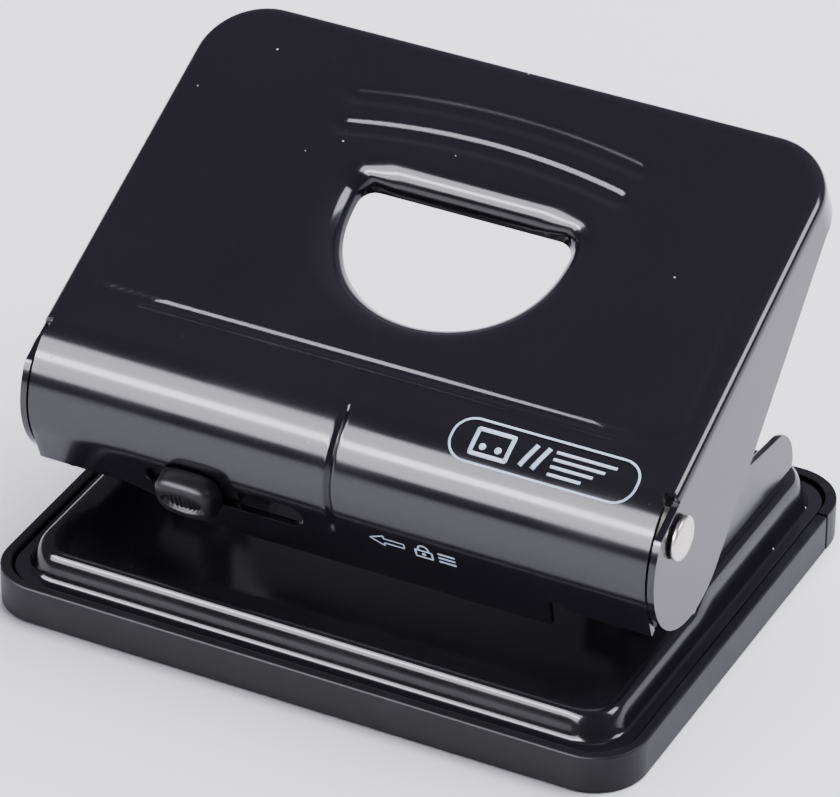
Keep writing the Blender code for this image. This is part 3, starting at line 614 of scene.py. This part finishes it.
# %% Bend, skirt and flanges
LOBE_START, LOBE_END = 148, 314.3
beta = np.radians(np.linspace(0, 90, 8))
bend = np.stack([shell_point(*edge_line(BEND_R * (1 - math.sin(b))).T)
                 - BEND_R * (1 - math.cos(b)) * PANEL_OUT for b in beta])
rear_half = slice(SIDE_STEPS, len(bend[0]) - SIDE_STEPS)
skirt = bend[-1][rear_half] - np.linspace(0, SKIRT - BEND_R, 9)[:, None, None] * PANEL_OUT
lobe = np.array(arc(NOSE_Y, NOSE_Z, NOSE_R, LOBE_START, LOBE_END, 96))
free = np.concatenate([lobe, [skirt[-1, 0, 1:]]])
crease = np.concatenate([bend[-1][:SIDE_STEPS, 1:], skirt[:, 0, 1:]])
length = np.concatenate([[0], np.cumsum(np.linalg.norm(np.diff(free, axis=0), axis=1))])
station = np.linspace(0, length[-1], len(crease))
free = np.stack([np.interp(station, length, free[:, k]) for k in (0, 1)], -1)
ruled = crease + (free - crease) * np.linspace(0, 1, 16)[:, None, None]
flanges = [np.concatenate([np.full((*ruled.shape[:2], 1), x), ruled], -1) for x in (HALF_W, -HALF_W)]
print("skirt", skirt.shape, "flange", flanges[0].shape)

# %% The nose
FLAP_Z, TONGUE_Z = 22.2, 17.2
NOTCH_X, NOTCH_HALF, NOTCH_DEPTH, NOTCH_END = -0.5, 0.5, 0.55, 24.0
NOSE_HALF = 57.0
ROLL_Z = NOSE_Z + NOSE_R * math.sin(ROLL_END)
hem_z = np.interp(front_x, (-43, -37.5, -30, -26, 37.85, 38.15, 40.75, 41.05),
                  (FLAP_Z, 21.6, 18.9, TONGUE_Z, TONGUE_Z, 23.6, 23.6, FLAP_Z))
face_len = (ROLL_Z - hem_z) / math.cos(FACE_TILT)
rolled_rows = -ROLL_LEN * np.linspace(0, 1, 32)[:, None] + 0 * front_x
flat_rows = -ROLL_LEN - np.linspace(0, 1, 18)[1:, None] * face_len
nose_along = np.concatenate([rolled_rows, flat_rows])
notch = np.exp(-((front_x - NOTCH_X) / NOTCH_HALF) ** 2) * smooth(0.0, 1.5, -nose_along)
notch *= 1 - smooth(NOTCH_END, NOTCH_END + 1.5, -nose_along)
widen = 1 + (NOSE_HALF / FRONT_W - 1) * smooth(1.0, 2.5, -nose_along)
nose = shell_point(front_x * widen, nose_along, -NOTCH_DEPTH * notch)
print("nose grid", nose.shape)

# %% Cut the slider's window and the pivot holes
WINDOW_LEFT, WINDOW_RIGHT, WINDOW_H = -35.6, -6.0, 5.3
SLIDER_Z = 26.1
PIVOT, EYE_R = (-24.6, 38.9), 2.5


def face_matrix(x=0.0):
    """The flat lower face's own frame at the slider's height: x across, y inwards, z up the face."""
    y, z = shell_point(0.0, -ROLL_LEN - (ROLL_Z - SLIDER_Z) / math.cos(FACE_TILT))[1:]
    return Matrix.Translation(Vector((x, y, z)) * MM) @ Matrix.Rotation(FACE_TILT, 4, "X")


def eye_cutter(name, x):
    """A short rod across the sheet at the pivot."""
    return turned(name, [(0, -3), (EYE_R, -3), (EYE_R, 3), (0, 3)], "X", (x, *PIVOT), 40)


half = WINDOW_H / 2
track = (arc(WINDOW_RIGHT - half, 0, half, -90, 90, 20)
         + arc(WINDOW_LEFT + half, 0, half, 90, 270, 20))
window_cutter = slab("window_cutter", track, -2.5, 3.0, "Y")
window_cutter.data.transform(face_matrix())
eye_cutters = [eye_cutter(f"eye_cutter_{s}", s * HALF_W) for s in (-1, 1)]
handle = surface("handle_sheet", (panel, True), bend, skirt, *flanges, nose)
settle(handle, wall=SHEET, even=False, drilled=[window_cutter, *eye_cutters], edge=0.28)
stand_for(handle, "handle_shell")

# %% [markdown]
# ## The base plate
#
# A pressed plate with a flat flange, a rounded shoulder, a front deck and a raised platform
# under the frame. It is a stack of rounded-rectangle rings, each at its own inset, and the
# shoulder's S-shaped rise is a logistic curve of the inset.

# %% Base plate
FLANGE_Z, DECK_Z, PLATFORM_Z = 6.4, 11.0, 13.3
BASE_HALF, BASE_R, RING_SHRINK = (57.6, 44.1), 7.6, 0.3
RISE_START, RISE_RUN, RISE_Q, RISE_P = 1.6, 3.9, 0.4925, 2.2
STEP_START, STEP_END = -7.4, -1.6
HOLE_X, PIN_Y, DIE_R = 40.0, 3.0, 3.15


def rounded_rectangle(half_w, half_d, radius, corner_steps=14, long_steps=60, short_steps=46):
    """A closed line round a rectangle with round corners, with the same stations at any size."""
    w, d = half_w - radius, half_d - radius
    sides = [(w, -d, 270, short_steps), (w, d, 0, long_steps),
             (-w, d, 90, short_steps), (-w, -d, 180, long_steps)]
    parts = []
    for k, (cx, cy, start, steps) in enumerate(sides):
        corner = np.array(arc(cx, cy, radius, start, start + 90, corner_steps))
        nx, ny, after, _ = sides[(k + 1) % 4]
        goal = np.array(arc(nx, ny, radius, after, after + 1, 1))[0]
        run = corner[-1] + (goal - corner[-1]) * np.linspace(0, 1, steps + 1)[1:-1, None]
        parts += [corner, run]
    return np.concatenate(parts)


def shoulder(inset):
    """Share of the rise at an inset: 0 on the flange, then 1 / (1 + (q (1 - t) / t)^p)."""
    t = np.clip((inset - RISE_START) / RISE_RUN, 1e-4, 1.0)
    return 1 / (1 + (RISE_Q * (1 - t) / t) ** RISE_P)


insets = np.concatenate([[0.0, 0.8, 1.5], np.linspace(1.7, 5.5, 18)])
rings = [rounded_rectangle(BASE_HALF[0] - i, BASE_HALF[1] - i, BASE_R - RING_SHRINK * i) for i in insets]
shares = [np.full(len(rings[0]), shoulder(i) if i > RISE_START else 0.0) for i in insets]
inner = [rings[-1] * f for f in np.linspace(1, 0, 46)[1:]]
plan = np.array(rings + inner)
share = np.array(shares + [np.ones(len(rings[0]))] * len(inner))
top = DECK_Z + (PLATFORM_Z - DECK_Z) * smooth(STEP_START, STEP_END, plan[..., 1])
height = FLANGE_Z + share * (top - FLANGE_Z)
base = surface("base_pressing", (np.concatenate([plan, height[..., None]], -1), True))
die_shape = [(0, 0), (DIE_R, 0), (DIE_R, 20), (0, 20)]
dies = [turned(f"die_{s}", die_shape, "Z", (s * HOLE_X, PIN_Y, 0), 48) for s in (-1, 1)]
settle(base, wall=SHEET, drilled=dies, edge=0.25)
stand_for(base, "base_plate")

# %% [markdown]
# ## The tray and its rear rail
#
# Both are plain mouldings: an outline carried upwards, with a seat for the base cut into its
# rim and a well cut inside that. Every outer edge gets a small radius.

# %% Tray and rail
TRAY_W, TRAY_D, TRAY_R, RIM_H = 120.0, 93.0, 9.5, 7.2
RIM_T, LEDGE_W, LEDGE_Z, FLOOR_T = 2.0, 2.0, 4.9, 1.4
SEAM_Y, SEAM_GAP, RAIL_WALL = 35.0, 0.3, 1.6
FAR = 100.0


def tray_line(inset, low, high, steps=18):
    """The tray's rounded rectangle at an inset, cut to a stretch of y."""
    half_w, half_d = TRAY_W / 2 - inset, TRAY_D / 2 - inset
    radius = max(TRAY_R - inset, 2.0)
    front = [(-half_w, low), (half_w, low)]
    rear = [(half_w, high), (-half_w, high)]
    if low < -half_d:
        front = (arc(-half_w + radius, -half_d + radius, radius, 180, 270, steps)
                 + arc(half_w - radius, -half_d + radius, radius, 270, 360, steps))
    if high > half_d:
        rear = (arc(half_w - radius, half_d - radius, radius, 0, 90, steps)
                + arc(-half_w + radius, half_d - radius, radius, 90, 180, steps))
    return front + rear


def moulding(name, low, high, seat_span, well_span):
    """A tray-shaped moulding between two stations of y, with its seat and its well."""
    body = slab(name, tray_line(0, low, high), 0, RIM_H)
    seat = slab("seat", tray_line(RIM_T, *seat_span), LEDGE_Z, RIM_H + 2)
    well = slab("well", tray_line(RIM_T + LEDGE_W, *well_span), FLOOR_T, RIM_H + 2)
    return settle(body, drilled=[seat, well], edge=0.45, segments=3)


tray_end, rail_start = SEAM_Y - SEAM_GAP / 2, SEAM_Y + SEAM_GAP / 2
tray = moulding("tray_moulding", -FAR, tray_end, (-FAR, SEAM_Y + 2), (-FAR, tray_end - RIM_T))
stand_for(tray, "chip_tray")
rail = moulding("rail_moulding", rail_start, FAR, (SEAM_Y - 2, FAR), (rail_start + RAIL_WALL, FAR))
stand_for(rail, "tray_rear_rail")

# %% [markdown]
# ## The frame
#
# One sheet makes the paper guide, its flared lip and the step down to the foot. It is a height over
# a plan whose width changes along y. The ears that carry the pivot are bent up from the same sheet
# at both sides. They are flat, so each is made as its own outline with its own broken edges, and
# it stands in the guide's side without a join. The left ear has two slots for the lock's tip.

# %% Frame
PLATE_Z, LIP_Y, LIP_BEND_Y, LIP_RISE = 15.9, -27.8, -15.0, 3.1 / 12.8
LIP_HALF, PLATE_HALF, FOOT_HALF = 57.0, 53.2, 49.0
LIP_CUT_X, LIP_CUT_Y, LIP_CUT_RUN = 43.0, -24.5, 0.9
LIP_SIDE, FOOT_SIDE, FOOT_STEP = (-21.2, -20.8), (13.8, 14.2), (13.8, 15.2)
LIP_BEND_R2 = 4.0
FOOT_Z, FOOT_END = 13.6, 33.0
EAR_X, BORE_R = 53.6, 3.2

share_x = spaced((-1.0, 0.02), (-0.775, 0.004), (-0.74, 0.02), (0.74, 0.004), (0.775, 0.02), (1.0, 0.02))
plan_y = spaced((LIP_Y, 0.5), (-21.6, 0.15), (-20.4, 0.5), (-11, 1.2), (13.6, 0.12), (15.4, 1.0),
                (FOOT_END, 1.0))
u, v = np.meshgrid(share_x, plan_y)
half_width = (LIP_HALF - (LIP_HALF - PLATE_HALF) * smooth(*LIP_SIDE, v)
              - (PLATE_HALF - FOOT_HALF) * smooth(*FOOT_SIDE, v))
x = u * half_width
at_corner = smooth(LIP_CUT_X, LIP_CUT_X + LIP_CUT_RUN, np.abs(u) * LIP_HALF)
front_y = LIP_CUT_Y + (LIP_Y - LIP_CUT_Y) * at_corner
lip_share = np.clip((LIP_BEND_Y - v) / (LIP_BEND_Y - LIP_Y), 0, 1)
y = np.where(v < LIP_BEND_Y, LIP_BEND_Y + lip_share * (front_y - LIP_BEND_Y), v)
past_bend = LIP_BEND_Y - y
z = (PLATE_Z + LIP_RISE * (past_bend + np.sqrt(past_bend ** 2 + LIP_BEND_R2)) / 2
     - (PLATE_Z - FOOT_Z) * smooth(*FOOT_STEP, y))
guide = surface("frame_sheet", np.stack([x, y, z], -1))
ear_line = ([(-19.0, PLATE_Z + 0.1), (33.6, PLATE_Z + 0.1)] + arc(25.5, 17.4, 8.6, 0, 90, 24)
            + [(16.0, 27.2), (-2.0, 35.5)] + arc(*PIVOT, 4.8, 55, 180, 24)
            + [(-30.3, 30.0), (-30.0, 27.3), (-28.1, 22.0), (-26.6, 19.4)])
ears = [slab(f"frame_ear_{name}", ear_line, *sorted((s * EAR_X, s * (EAR_X - SHEET))), "X")
        for s, name in ((-1, "left"), (1, "right"))]
bore_shape = [(0, 12), (BORE_R, 12), (BORE_R, 22), (0, 22)]
bores = [turned(f"bore_{s}", bore_shape, "Z", (s * HOLE_X, PIN_Y, 0), 40) for s in (-1, 1)]
settle(guide, wall=SHEET, outward=True, drilled=bores, edge=0.25)
stand_for(guide, "punch_frame")

# %% The ears' holes
TIP_PLACE, SLOT_Y, SLOT_Z, PRESS = Vector((0.0, 4.8, -2.0)) * MM, 0.95, 1.65, math.radians(16)
slot_shape = [(-SLOT_Y, -SLOT_Z), (SLOT_Y, -SLOT_Z), (SLOT_Y, SLOT_Z), (-SLOT_Y, SLOT_Z)]
pivot_place = Matrix.Translation(Vector((0.0, *PIVOT)) * MM)
tip_slots = []
for label, turn in (("rest", 0.0), ("pressed", -PRESS)):
    slot_cutter = slab(f"tip_slot_{label}", slot_shape, -1.5, 1.5, "X")
    slot_cutter.data.transform(pivot_place @ Matrix.Rotation(turn, 4, "X") @ pivot_place.inverted()
                               @ face_matrix(-EAR_X) @ Matrix.Translation(TIP_PLACE))
    tip_slots.append(slot_cutter)
for sign, ear in zip((-1, 1), ears):
    settle(ear, drilled=[eye_cutter(f"eye_{sign}", sign * EAR_X), *(tip_slots if sign < 0 else [])], edge=0.3)
    ear.data.materials.append(enamel.material)
    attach(ear, BODY_OF["punch_frame"])
    print(f"{ear.name}: {len(ear.data.polygons)} faces on {BODY_OF['punch_frame']}")

# %% [markdown]
# ## Turned parts and springs
#
# The pins, clips, spacers and rivets are profiles turned about their axes. A spring is a round
# wire carried along a helix.


# %% Turned parts
def softened(profile, radius, steps=4):
    """A profile with its corners replaced by short curves (quadratic, tangent to both sides)."""
    points = np.array(profile, float)
    out = [points[:1]]
    for before, corner, after in zip(points, points[1:], points[2:]):
        first, last = before - corner, after - corner
        room_1, room_2 = np.linalg.norm(first), np.linalg.norm(last)
        cut = min(radius, 0.45 * room_1, 0.45 * room_2)
        a, b = corner + first / room_1 * cut, corner + last / room_2 * cut
        t = np.linspace(0, 1, steps + 1)[:, None]
        out.append(a * (1 - t) ** 2 + corner * 2 * t * (1 - t) + b * t ** 2)
    return np.concatenate([*out, points[-1:]])


GAP = 0.3
HEAD_R, SHANK_R, SPACER_R = 3.9, 2.2, 4.2
head_low, ear_inner = HALF_W + GAP, EAR_X - SHEET - GAP
pivot_shape = [(0, head_low + 1.4), (1.9, head_low + 1.36), (3.2, head_low + 1.15), (HEAD_R, head_low + 0.75),
               (HEAD_R, head_low), (SHANK_R, head_low), (SHANK_R, ear_inner), (3.4, ear_inner),
               (3.2, ear_inner - 1.2), (0, ear_inner - 1.4)]
spacer_low, spacer_high = EAR_X + GAP, HALF_W - SHEET - GAP
spacer_shape = [(EYE_R, spacer_high), (SPACER_R, spacer_high), (SPACER_R, spacer_low), (EYE_R, spacer_low),
                (EYE_R, spacer_high)]
for sign, name in ((-1, "left"), (1, "right")):
    for label, shape, radius in (("pivot_pin", pivot_shape, 0.35), ("pivot_spacer", spacer_shape, 0.25)):
        profile = softened(shape, radius)
        profile[:, 1] *= sign
        piece = turned(f"{label}_{name}_turned", profile, "X", (0, *PIVOT), 72)
        stand_for(piece, f"{label}_{name}")

# %% Punch pins, clips and springs
TIP_Z, TOP_Z, CLIP_Z, BRIDGE_Z, PIN_R = 16.6, 44.5, 42.2, 28.2, 3.0
WIRE_R, COIL_R, TURNS, TURN_STEPS, WIRE_STEPS = 0.4, 4.05, 6, 28, 12
pin_shape = [(0, TOP_Z), (1.6, TOP_Z - 0.3), (2.7, TOP_Z - 1.1), (2.7, CLIP_Z + 1.1), (2.2, CLIP_Z + 1.1),
             (2.2, CLIP_Z - GAP), (PIN_R, CLIP_Z - GAP), (PIN_R, TIP_Z), (2.3, TIP_Z), (0, TIP_Z + 1.6)]
clip_shape = [(2.5, CLIP_Z + 0.8), (4.7, CLIP_Z + 0.8), (4.7, CLIP_Z), (2.5, CLIP_Z), (2.5, CLIP_Z + 0.8)]


def coil(name, x, low, high):
    """A wire ring carried up a helix: radius COIL_R + r cos t, height + r sin t, where r is the
    wire's radius and falls to nothing at both ends. The pitch eases in and out."""
    count = TURNS * TURN_STEPS
    turn = np.linspace(0, 2 * np.pi * TURNS, count)[:, None]
    ring = np.linspace(0, 2 * np.pi, WIRE_STEPS, endpoint=False)
    wire = np.full((count, 1), WIRE_R)
    wire[[0, -1]] = 0.0
    pitch = smooth(0, 1, turn / turn[-1]) * 0.25 + turn / turn[-1] * 0.75
    reach = COIL_R + wire * np.cos(ring)
    z = low + (high - low) * pitch + wire * np.sin(ring)
    return surface(name, (np.stack([x + reach * np.cos(turn), PIN_Y + reach * np.sin(turn), z], -1), True))


spring_low, spring_high = BRIDGE_Z + GAP + WIRE_R, CLIP_Z - GAP - WIRE_R
travel = next(j for j in frame["joints"] if j["name"] == "punch_left_slide")["range_m"][1] / MM
free_len = spring_high - spring_low + 2 * WIRE_R
for sign, name in ((-1, "left"), (1, "right")):
    x = sign * HOLE_X
    for label, shape, radius in (("punch_pin", pin_shape, 0.25), ("pin_clip", clip_shape, 0.2)):
        piece = turned(f"{label}_{name}_turned", softened(shape, radius), "Z", (x, PIN_Y, 0))
        stand_for(piece, f"{label}_{name}")
    spring = stand_for(coil(f"pin_spring_{name}_coil", x, spring_low, spring_high), f"pin_spring_{name}")
    x * MM
    (free_len - travel) / free_len
    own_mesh(spring)

# %% Rivets
RIVET_X, RIVET_Y, GUIDE_DX = (-42.0, -14.0, 14.0, 42.0), 26.0, 9.8
foot_top, base_under = PLATFORM_Z + GAP + SHEET + GAP, PLATFORM_Z - SHEET - GAP
foot_rivet = [(0, foot_top + 1.1), (1.4, foot_top + 0.9), (2.4, foot_top), (1.2, foot_top), (1.2, base_under),
              (2.3, base_under), (2.3, base_under - 0.9), (0, base_under - 0.9)]
bridge_top = PLATE_Z + 2 * (SHEET + GAP)
guide_rivet = [(0, bridge_top + 1.0), (1.1, bridge_top + 0.8), (1.8, bridge_top), (1.2, bridge_top),
               (1.2, PLATE_Z + 0.1), (0, PLATE_Z + 0.1)]
guide_x = [s * HOLE_X + e * GUIDE_DX for s in (-1, 1) for e in (-1, 1)]
for k in range(4):
    for label, shape, radius, x, y in (("frame_rivet", foot_rivet, 0.4, RIVET_X[k], RIVET_Y),
                                       ("guide_rivet", guide_rivet, 0.35, guide_x[k], PIN_Y)):
        piece = turned(f"{label}_{k + 1}_turned", softened(shape, radius), "Z", (x, y, 0), 40)
        stand_for(piece, f"{label}_{k + 1}")

# %% [markdown]
# ## Small brackets and the lock bar
#
# The guide bridges, drive brackets and lock bar are right as the frame has them, apart from
# their sheared edges, which are sharp. A welded copy of each gets those edges broken.


# %% Brackets
FLAT_ANGLE, BROKEN_EDGE = math.radians(2), 0.18


def edge_broken(node, edge):
    """A welded copy of a CAD node with its flat faces made whole and its edges rounded."""
    mesh = frame["nodes"][node].data.copy()
    body = bmesh.new()
    body.from_mesh(mesh)
    bmesh.ops.remove_doubles(body, verts=body.verts, dist=WELD)
    bmesh.ops.dissolve_limit(body, angle_limit=FLAT_ANGLE, verts=body.verts, edges=body.edges)
    body.to_mesh(mesh)
    body.free()
    mesh.shade_smooth()
    obj = bpy.data.objects.new(f"{node}_dressed", mesh)
    bpy.context.scene.collection.objects.link(obj)
    return stand_for(settle(obj, edge=edge), node)


brackets = [f"{kind}_{name}" for kind in ("guide_bridge", "drive_bracket") for name in ("left", "right")]
for node in (*brackets, "lock_bar"):
    edge_broken(node, BROKEN_EDGE)

# %% [markdown]
# ## The lock button
#
# A small moulded slider: a pillow with softly rounded sides and an oval hollow in its face that
# is ribbed for the fingertip. Rings of points run from its back edge up its side and across its
# face to the middle, and the hollow and its ribs are heights on those rings. A stem and a
# keeper plate hold it in the window.

# %% Lock button
BUTTON_X, BUTTON_HALF, BUTTON_OUT, BUTTON_RISE = -26.3, (5.5, 4.2), 4.5, 0.9
SQUARENESS, SHOULDER_R = 3.4, 1.5
OVAL_HALF, DISH, RIB_H, RIB_PITCH = (4.2, 2.1), 0.75, 0.17, 0.85
around = np.linspace(0, 2 * np.pi, 160, endpoint=False)


def pillow_line(inset):
    """A squarish oval, |x/a|^n + |z/b|^n = 1, drawn in from the full size."""
    c, s = np.cos(around), np.sin(around)
    return np.stack([(BUTTON_HALF[0] - inset) * np.sign(c) * np.abs(c) ** (2 / SQUARENESS),
                     (BUTTON_HALF[1] - inset) * np.sign(s) * np.abs(s) ** (2 / SQUARENESS)], -1)


def button_rings():
    """Rings as (x, depth, z): the back, the side, a quarter-round shoulder, then the ribbed face."""
    rows = [np.insert(pillow_line(3.9) * 0.02, 1, -GAP, 1), np.insert(pillow_line(0.2), 1, -GAP, 1),
            np.insert(pillow_line(0.0), 1, -GAP - 0.2, 1)]
    for a in np.radians(np.linspace(0, 90, 9)):
        inset, back_by = SHOULDER_R * (1 - math.cos(a)), SHOULDER_R * (1 - math.sin(a))
        rows.append(np.insert(pillow_line(inset), 1, -BUTTON_OUT + back_by, 1))
    face = pillow_line(SHOULDER_R)
    for share in np.linspace(1, 0, 60)[1:]:
        x, z = (face * share).T
        oval = np.hypot(x / OVAL_HALF[0], z / OVAL_HALF[1])
        dish = (1 - smooth(0.8, 1.02, oval)) * (DISH - 0.2 * np.clip(1 - oval, 0, 1))
        ribs = (1 - smooth(0.72, 0.95, oval)) * RIB_H * np.cos(2 * np.pi * x / RIB_PITCH)
        rows.append(np.stack([x, -BUTTON_OUT + dish - ribs, z], -1))
    return np.array(rows) + (0.0, 0.0, BUTTON_RISE)


button = surface("lock_grip", (button_rings(), True))
button.data.transform(face_matrix(BUTTON_X))
stand_for(button, "lock_button")
stem = arc(1.7, 0, 2.3, -90, 90, 12) + arc(-1.7, 0, 2.3, 90, 270, 12)
keeper = slab("lock_keeper", [(-7.0, -3.5), (7.0, -3.5), (7.0, 3.5), (-7.0, 3.5)], 1.5, 3.9, "Y")
settle(keeper, joined=[slab("stem", stem, -0.6, 2.4, "Y")], edge=0.3)
keeper.data.transform(face_matrix(BUTTON_X))
keeper.data.materials.append(grip.material)
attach(keeper, BODY_OF["lock_button"])

# %% [markdown]
# ## The printed marks
#
# Two small marks are printed in pale ink: an outlined badge on the nose and, on the lower face,
# an arrow that shows which way the lock slides. Both are plain signs here: a sheet with two
# holes, and a padlock. A stroke is a ribbon that follows the handle's outer face.

# %% Strokes of ink
INK = 0.03


def stroke(path, width, closed=False):
    """A ribbon of a width along a line of (x, along), laid just above the handle's face."""
    line = np.array(path, float)
    if closed:
        line = np.concatenate([line, line[:1]])
    gaps = np.linalg.norm(np.diff(line, axis=0), axis=1)
    at = np.concatenate([[0], np.cumsum(gaps)])
    station = np.unique(np.concatenate([at, np.linspace(0, at[-1], max(int(at[-1] / 0.35), 2))]))
    line = np.stack([np.interp(station, at, line[:, k]) for k in (0, 1)], -1)
    ahead = np.gradient(line, axis=0)
    if closed:
        ahead[0] = ahead[-1] = line[1] - line[-2]
    ahead /= np.linalg.norm(ahead, axis=1, keepdims=True) + 1e-9
    across = np.stack([-ahead[:, 1], ahead[:, 0]], -1) * width / 2
    rows = line + np.array([-1, 0, 1])[:, None, None] * across
    return shell_point(rows[..., 0], rows[..., 1], 0.012)


def printed(name, strokes):
    """All strokes of one mark as a thin film riding on the handle."""
    obj = surface(name, *strokes)
    outward = Vector((0, -1, 0.5))
    toward_face = sum((f.area * Vector(f.normal).dot(outward) for f in obj.data.polygons), 0.0)
    if toward_face < 0:
        obj.data.flip_normals()
    settle(obj, wall=INK, outward=True)
    obj.data.materials.append(ink.material)
    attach(obj, BODY_OF["handle_shell"])
    print(f"{name}: {len(obj.data.polygons)} faces")
    return obj


def disc(x, along, radius):
    """A filled dot, as a ribbon bent round half its radius."""
    return stroke(arc(x, along, radius / 2, 0, 360, 20)[:-1], radius, True)


# %% The badge
left, right, low, high, corner = 18.3, 51.5, -4.4, 3.6, 3.6
ends = ((right - corner, low + corner, -90), (right - corner, high - corner, 0),
        (left + corner, high - corner, 90), (left + corner, low + corner, 180))
badge = [point for x, along, start in ends for point in arc(x, along, corner, start, start + 90, 12)]
page = [(22.4, -2.7), (28.8, -2.7), (28.8, 1.9), (22.4, 1.9)]
marks = [stroke(badge, 0.42, True), stroke(page, 0.75, True), disc(24.2, -1.2, 0.62), disc(27.0, -1.2, 0.62)]
marks += [stroke([(x, -2.6), (x + 1.6, 1.8)], 0.85) for x in (31.4, 33.6)]
marks += [stroke([(36.4, a), (47.2 - 1.6 * k, a)], 0.55) for k, a in enumerate((1.5, 0.1, -1.3, -2.7))]
printed("badge_print", marks)

# %% The lock sign
sign_z = 26.9
level = -ROLL_LEN - (ROLL_Z - sign_z) / math.cos(FACE_TILT)
arrow = [(6.6, 0), (9.2, 1.3), (9.2, 0.55), (12.9, 0.55), (12.9, -0.55), (9.2, -0.55), (9.2, -1.3)]
arrow = [(x, level + a) for x, a in arrow]
lock = [(15.0, level - 1.4), (18.0, level - 1.4), (18.0, level + 0.3), (15.0, level + 0.3)]
shackle = [(15.55, level + 0.3)] + arc(16.5, level + 0.7, 0.95, 180, 0, 12) + [(17.45, level + 0.3)]
bars = [stroke([(19.2, level + a), (22.3, level + a)], 0.42) for a in (0.75, -0.25, -1.25)]
printed("lock_print", [stroke(arrow, 0.24, True), stroke(lock, 0.35, True), stroke(shackle, 0.35),
                       disc(16.5, level - 0.55, 0.38), *bars])

# %% [markdown]
# ## The floor
#
# A plain pale table top, which isn't part of the punch.

# %% Floor
paper = Finish("pale_table", (0.80, 0.80, 0.81), 0.6)
paper.paint("Base Color", paper.blend(paper.noise(400.0), (0.79, 0.79, 0.80), (0.82, 0.82, 0.83)))
TABLE_HALF, TABLE_Z = 3000, -0.05
table_line = np.linspace(-TABLE_HALF, TABLE_HALF, 13)
fx, fy = np.meshgrid(table_line, table_line)
floor = surface("table_top", np.stack([fx, fy, np.full_like(fx, TABLE_Z)], -1))
floor.data.materials.append(paper.material)
floor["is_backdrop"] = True

# %% Any CAD node that still shows gets its finish
for node, obj in frame["nodes"].items():
    if not obj.hide_render:
        obj.data.materials.clear()
        obj.data.materials.append(FINISHES[SLOT_OF[node]].material)
        print("shown as it is:", node)

# %% Print the sizes of the CAD frame and of the visual
box = [list(corner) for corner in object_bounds()]
for label, corners in (("cad", cad_box), ("visual", box)):
    print(label, "box in mm:", np.round(np.array(corners) / MM, 2).tolist())
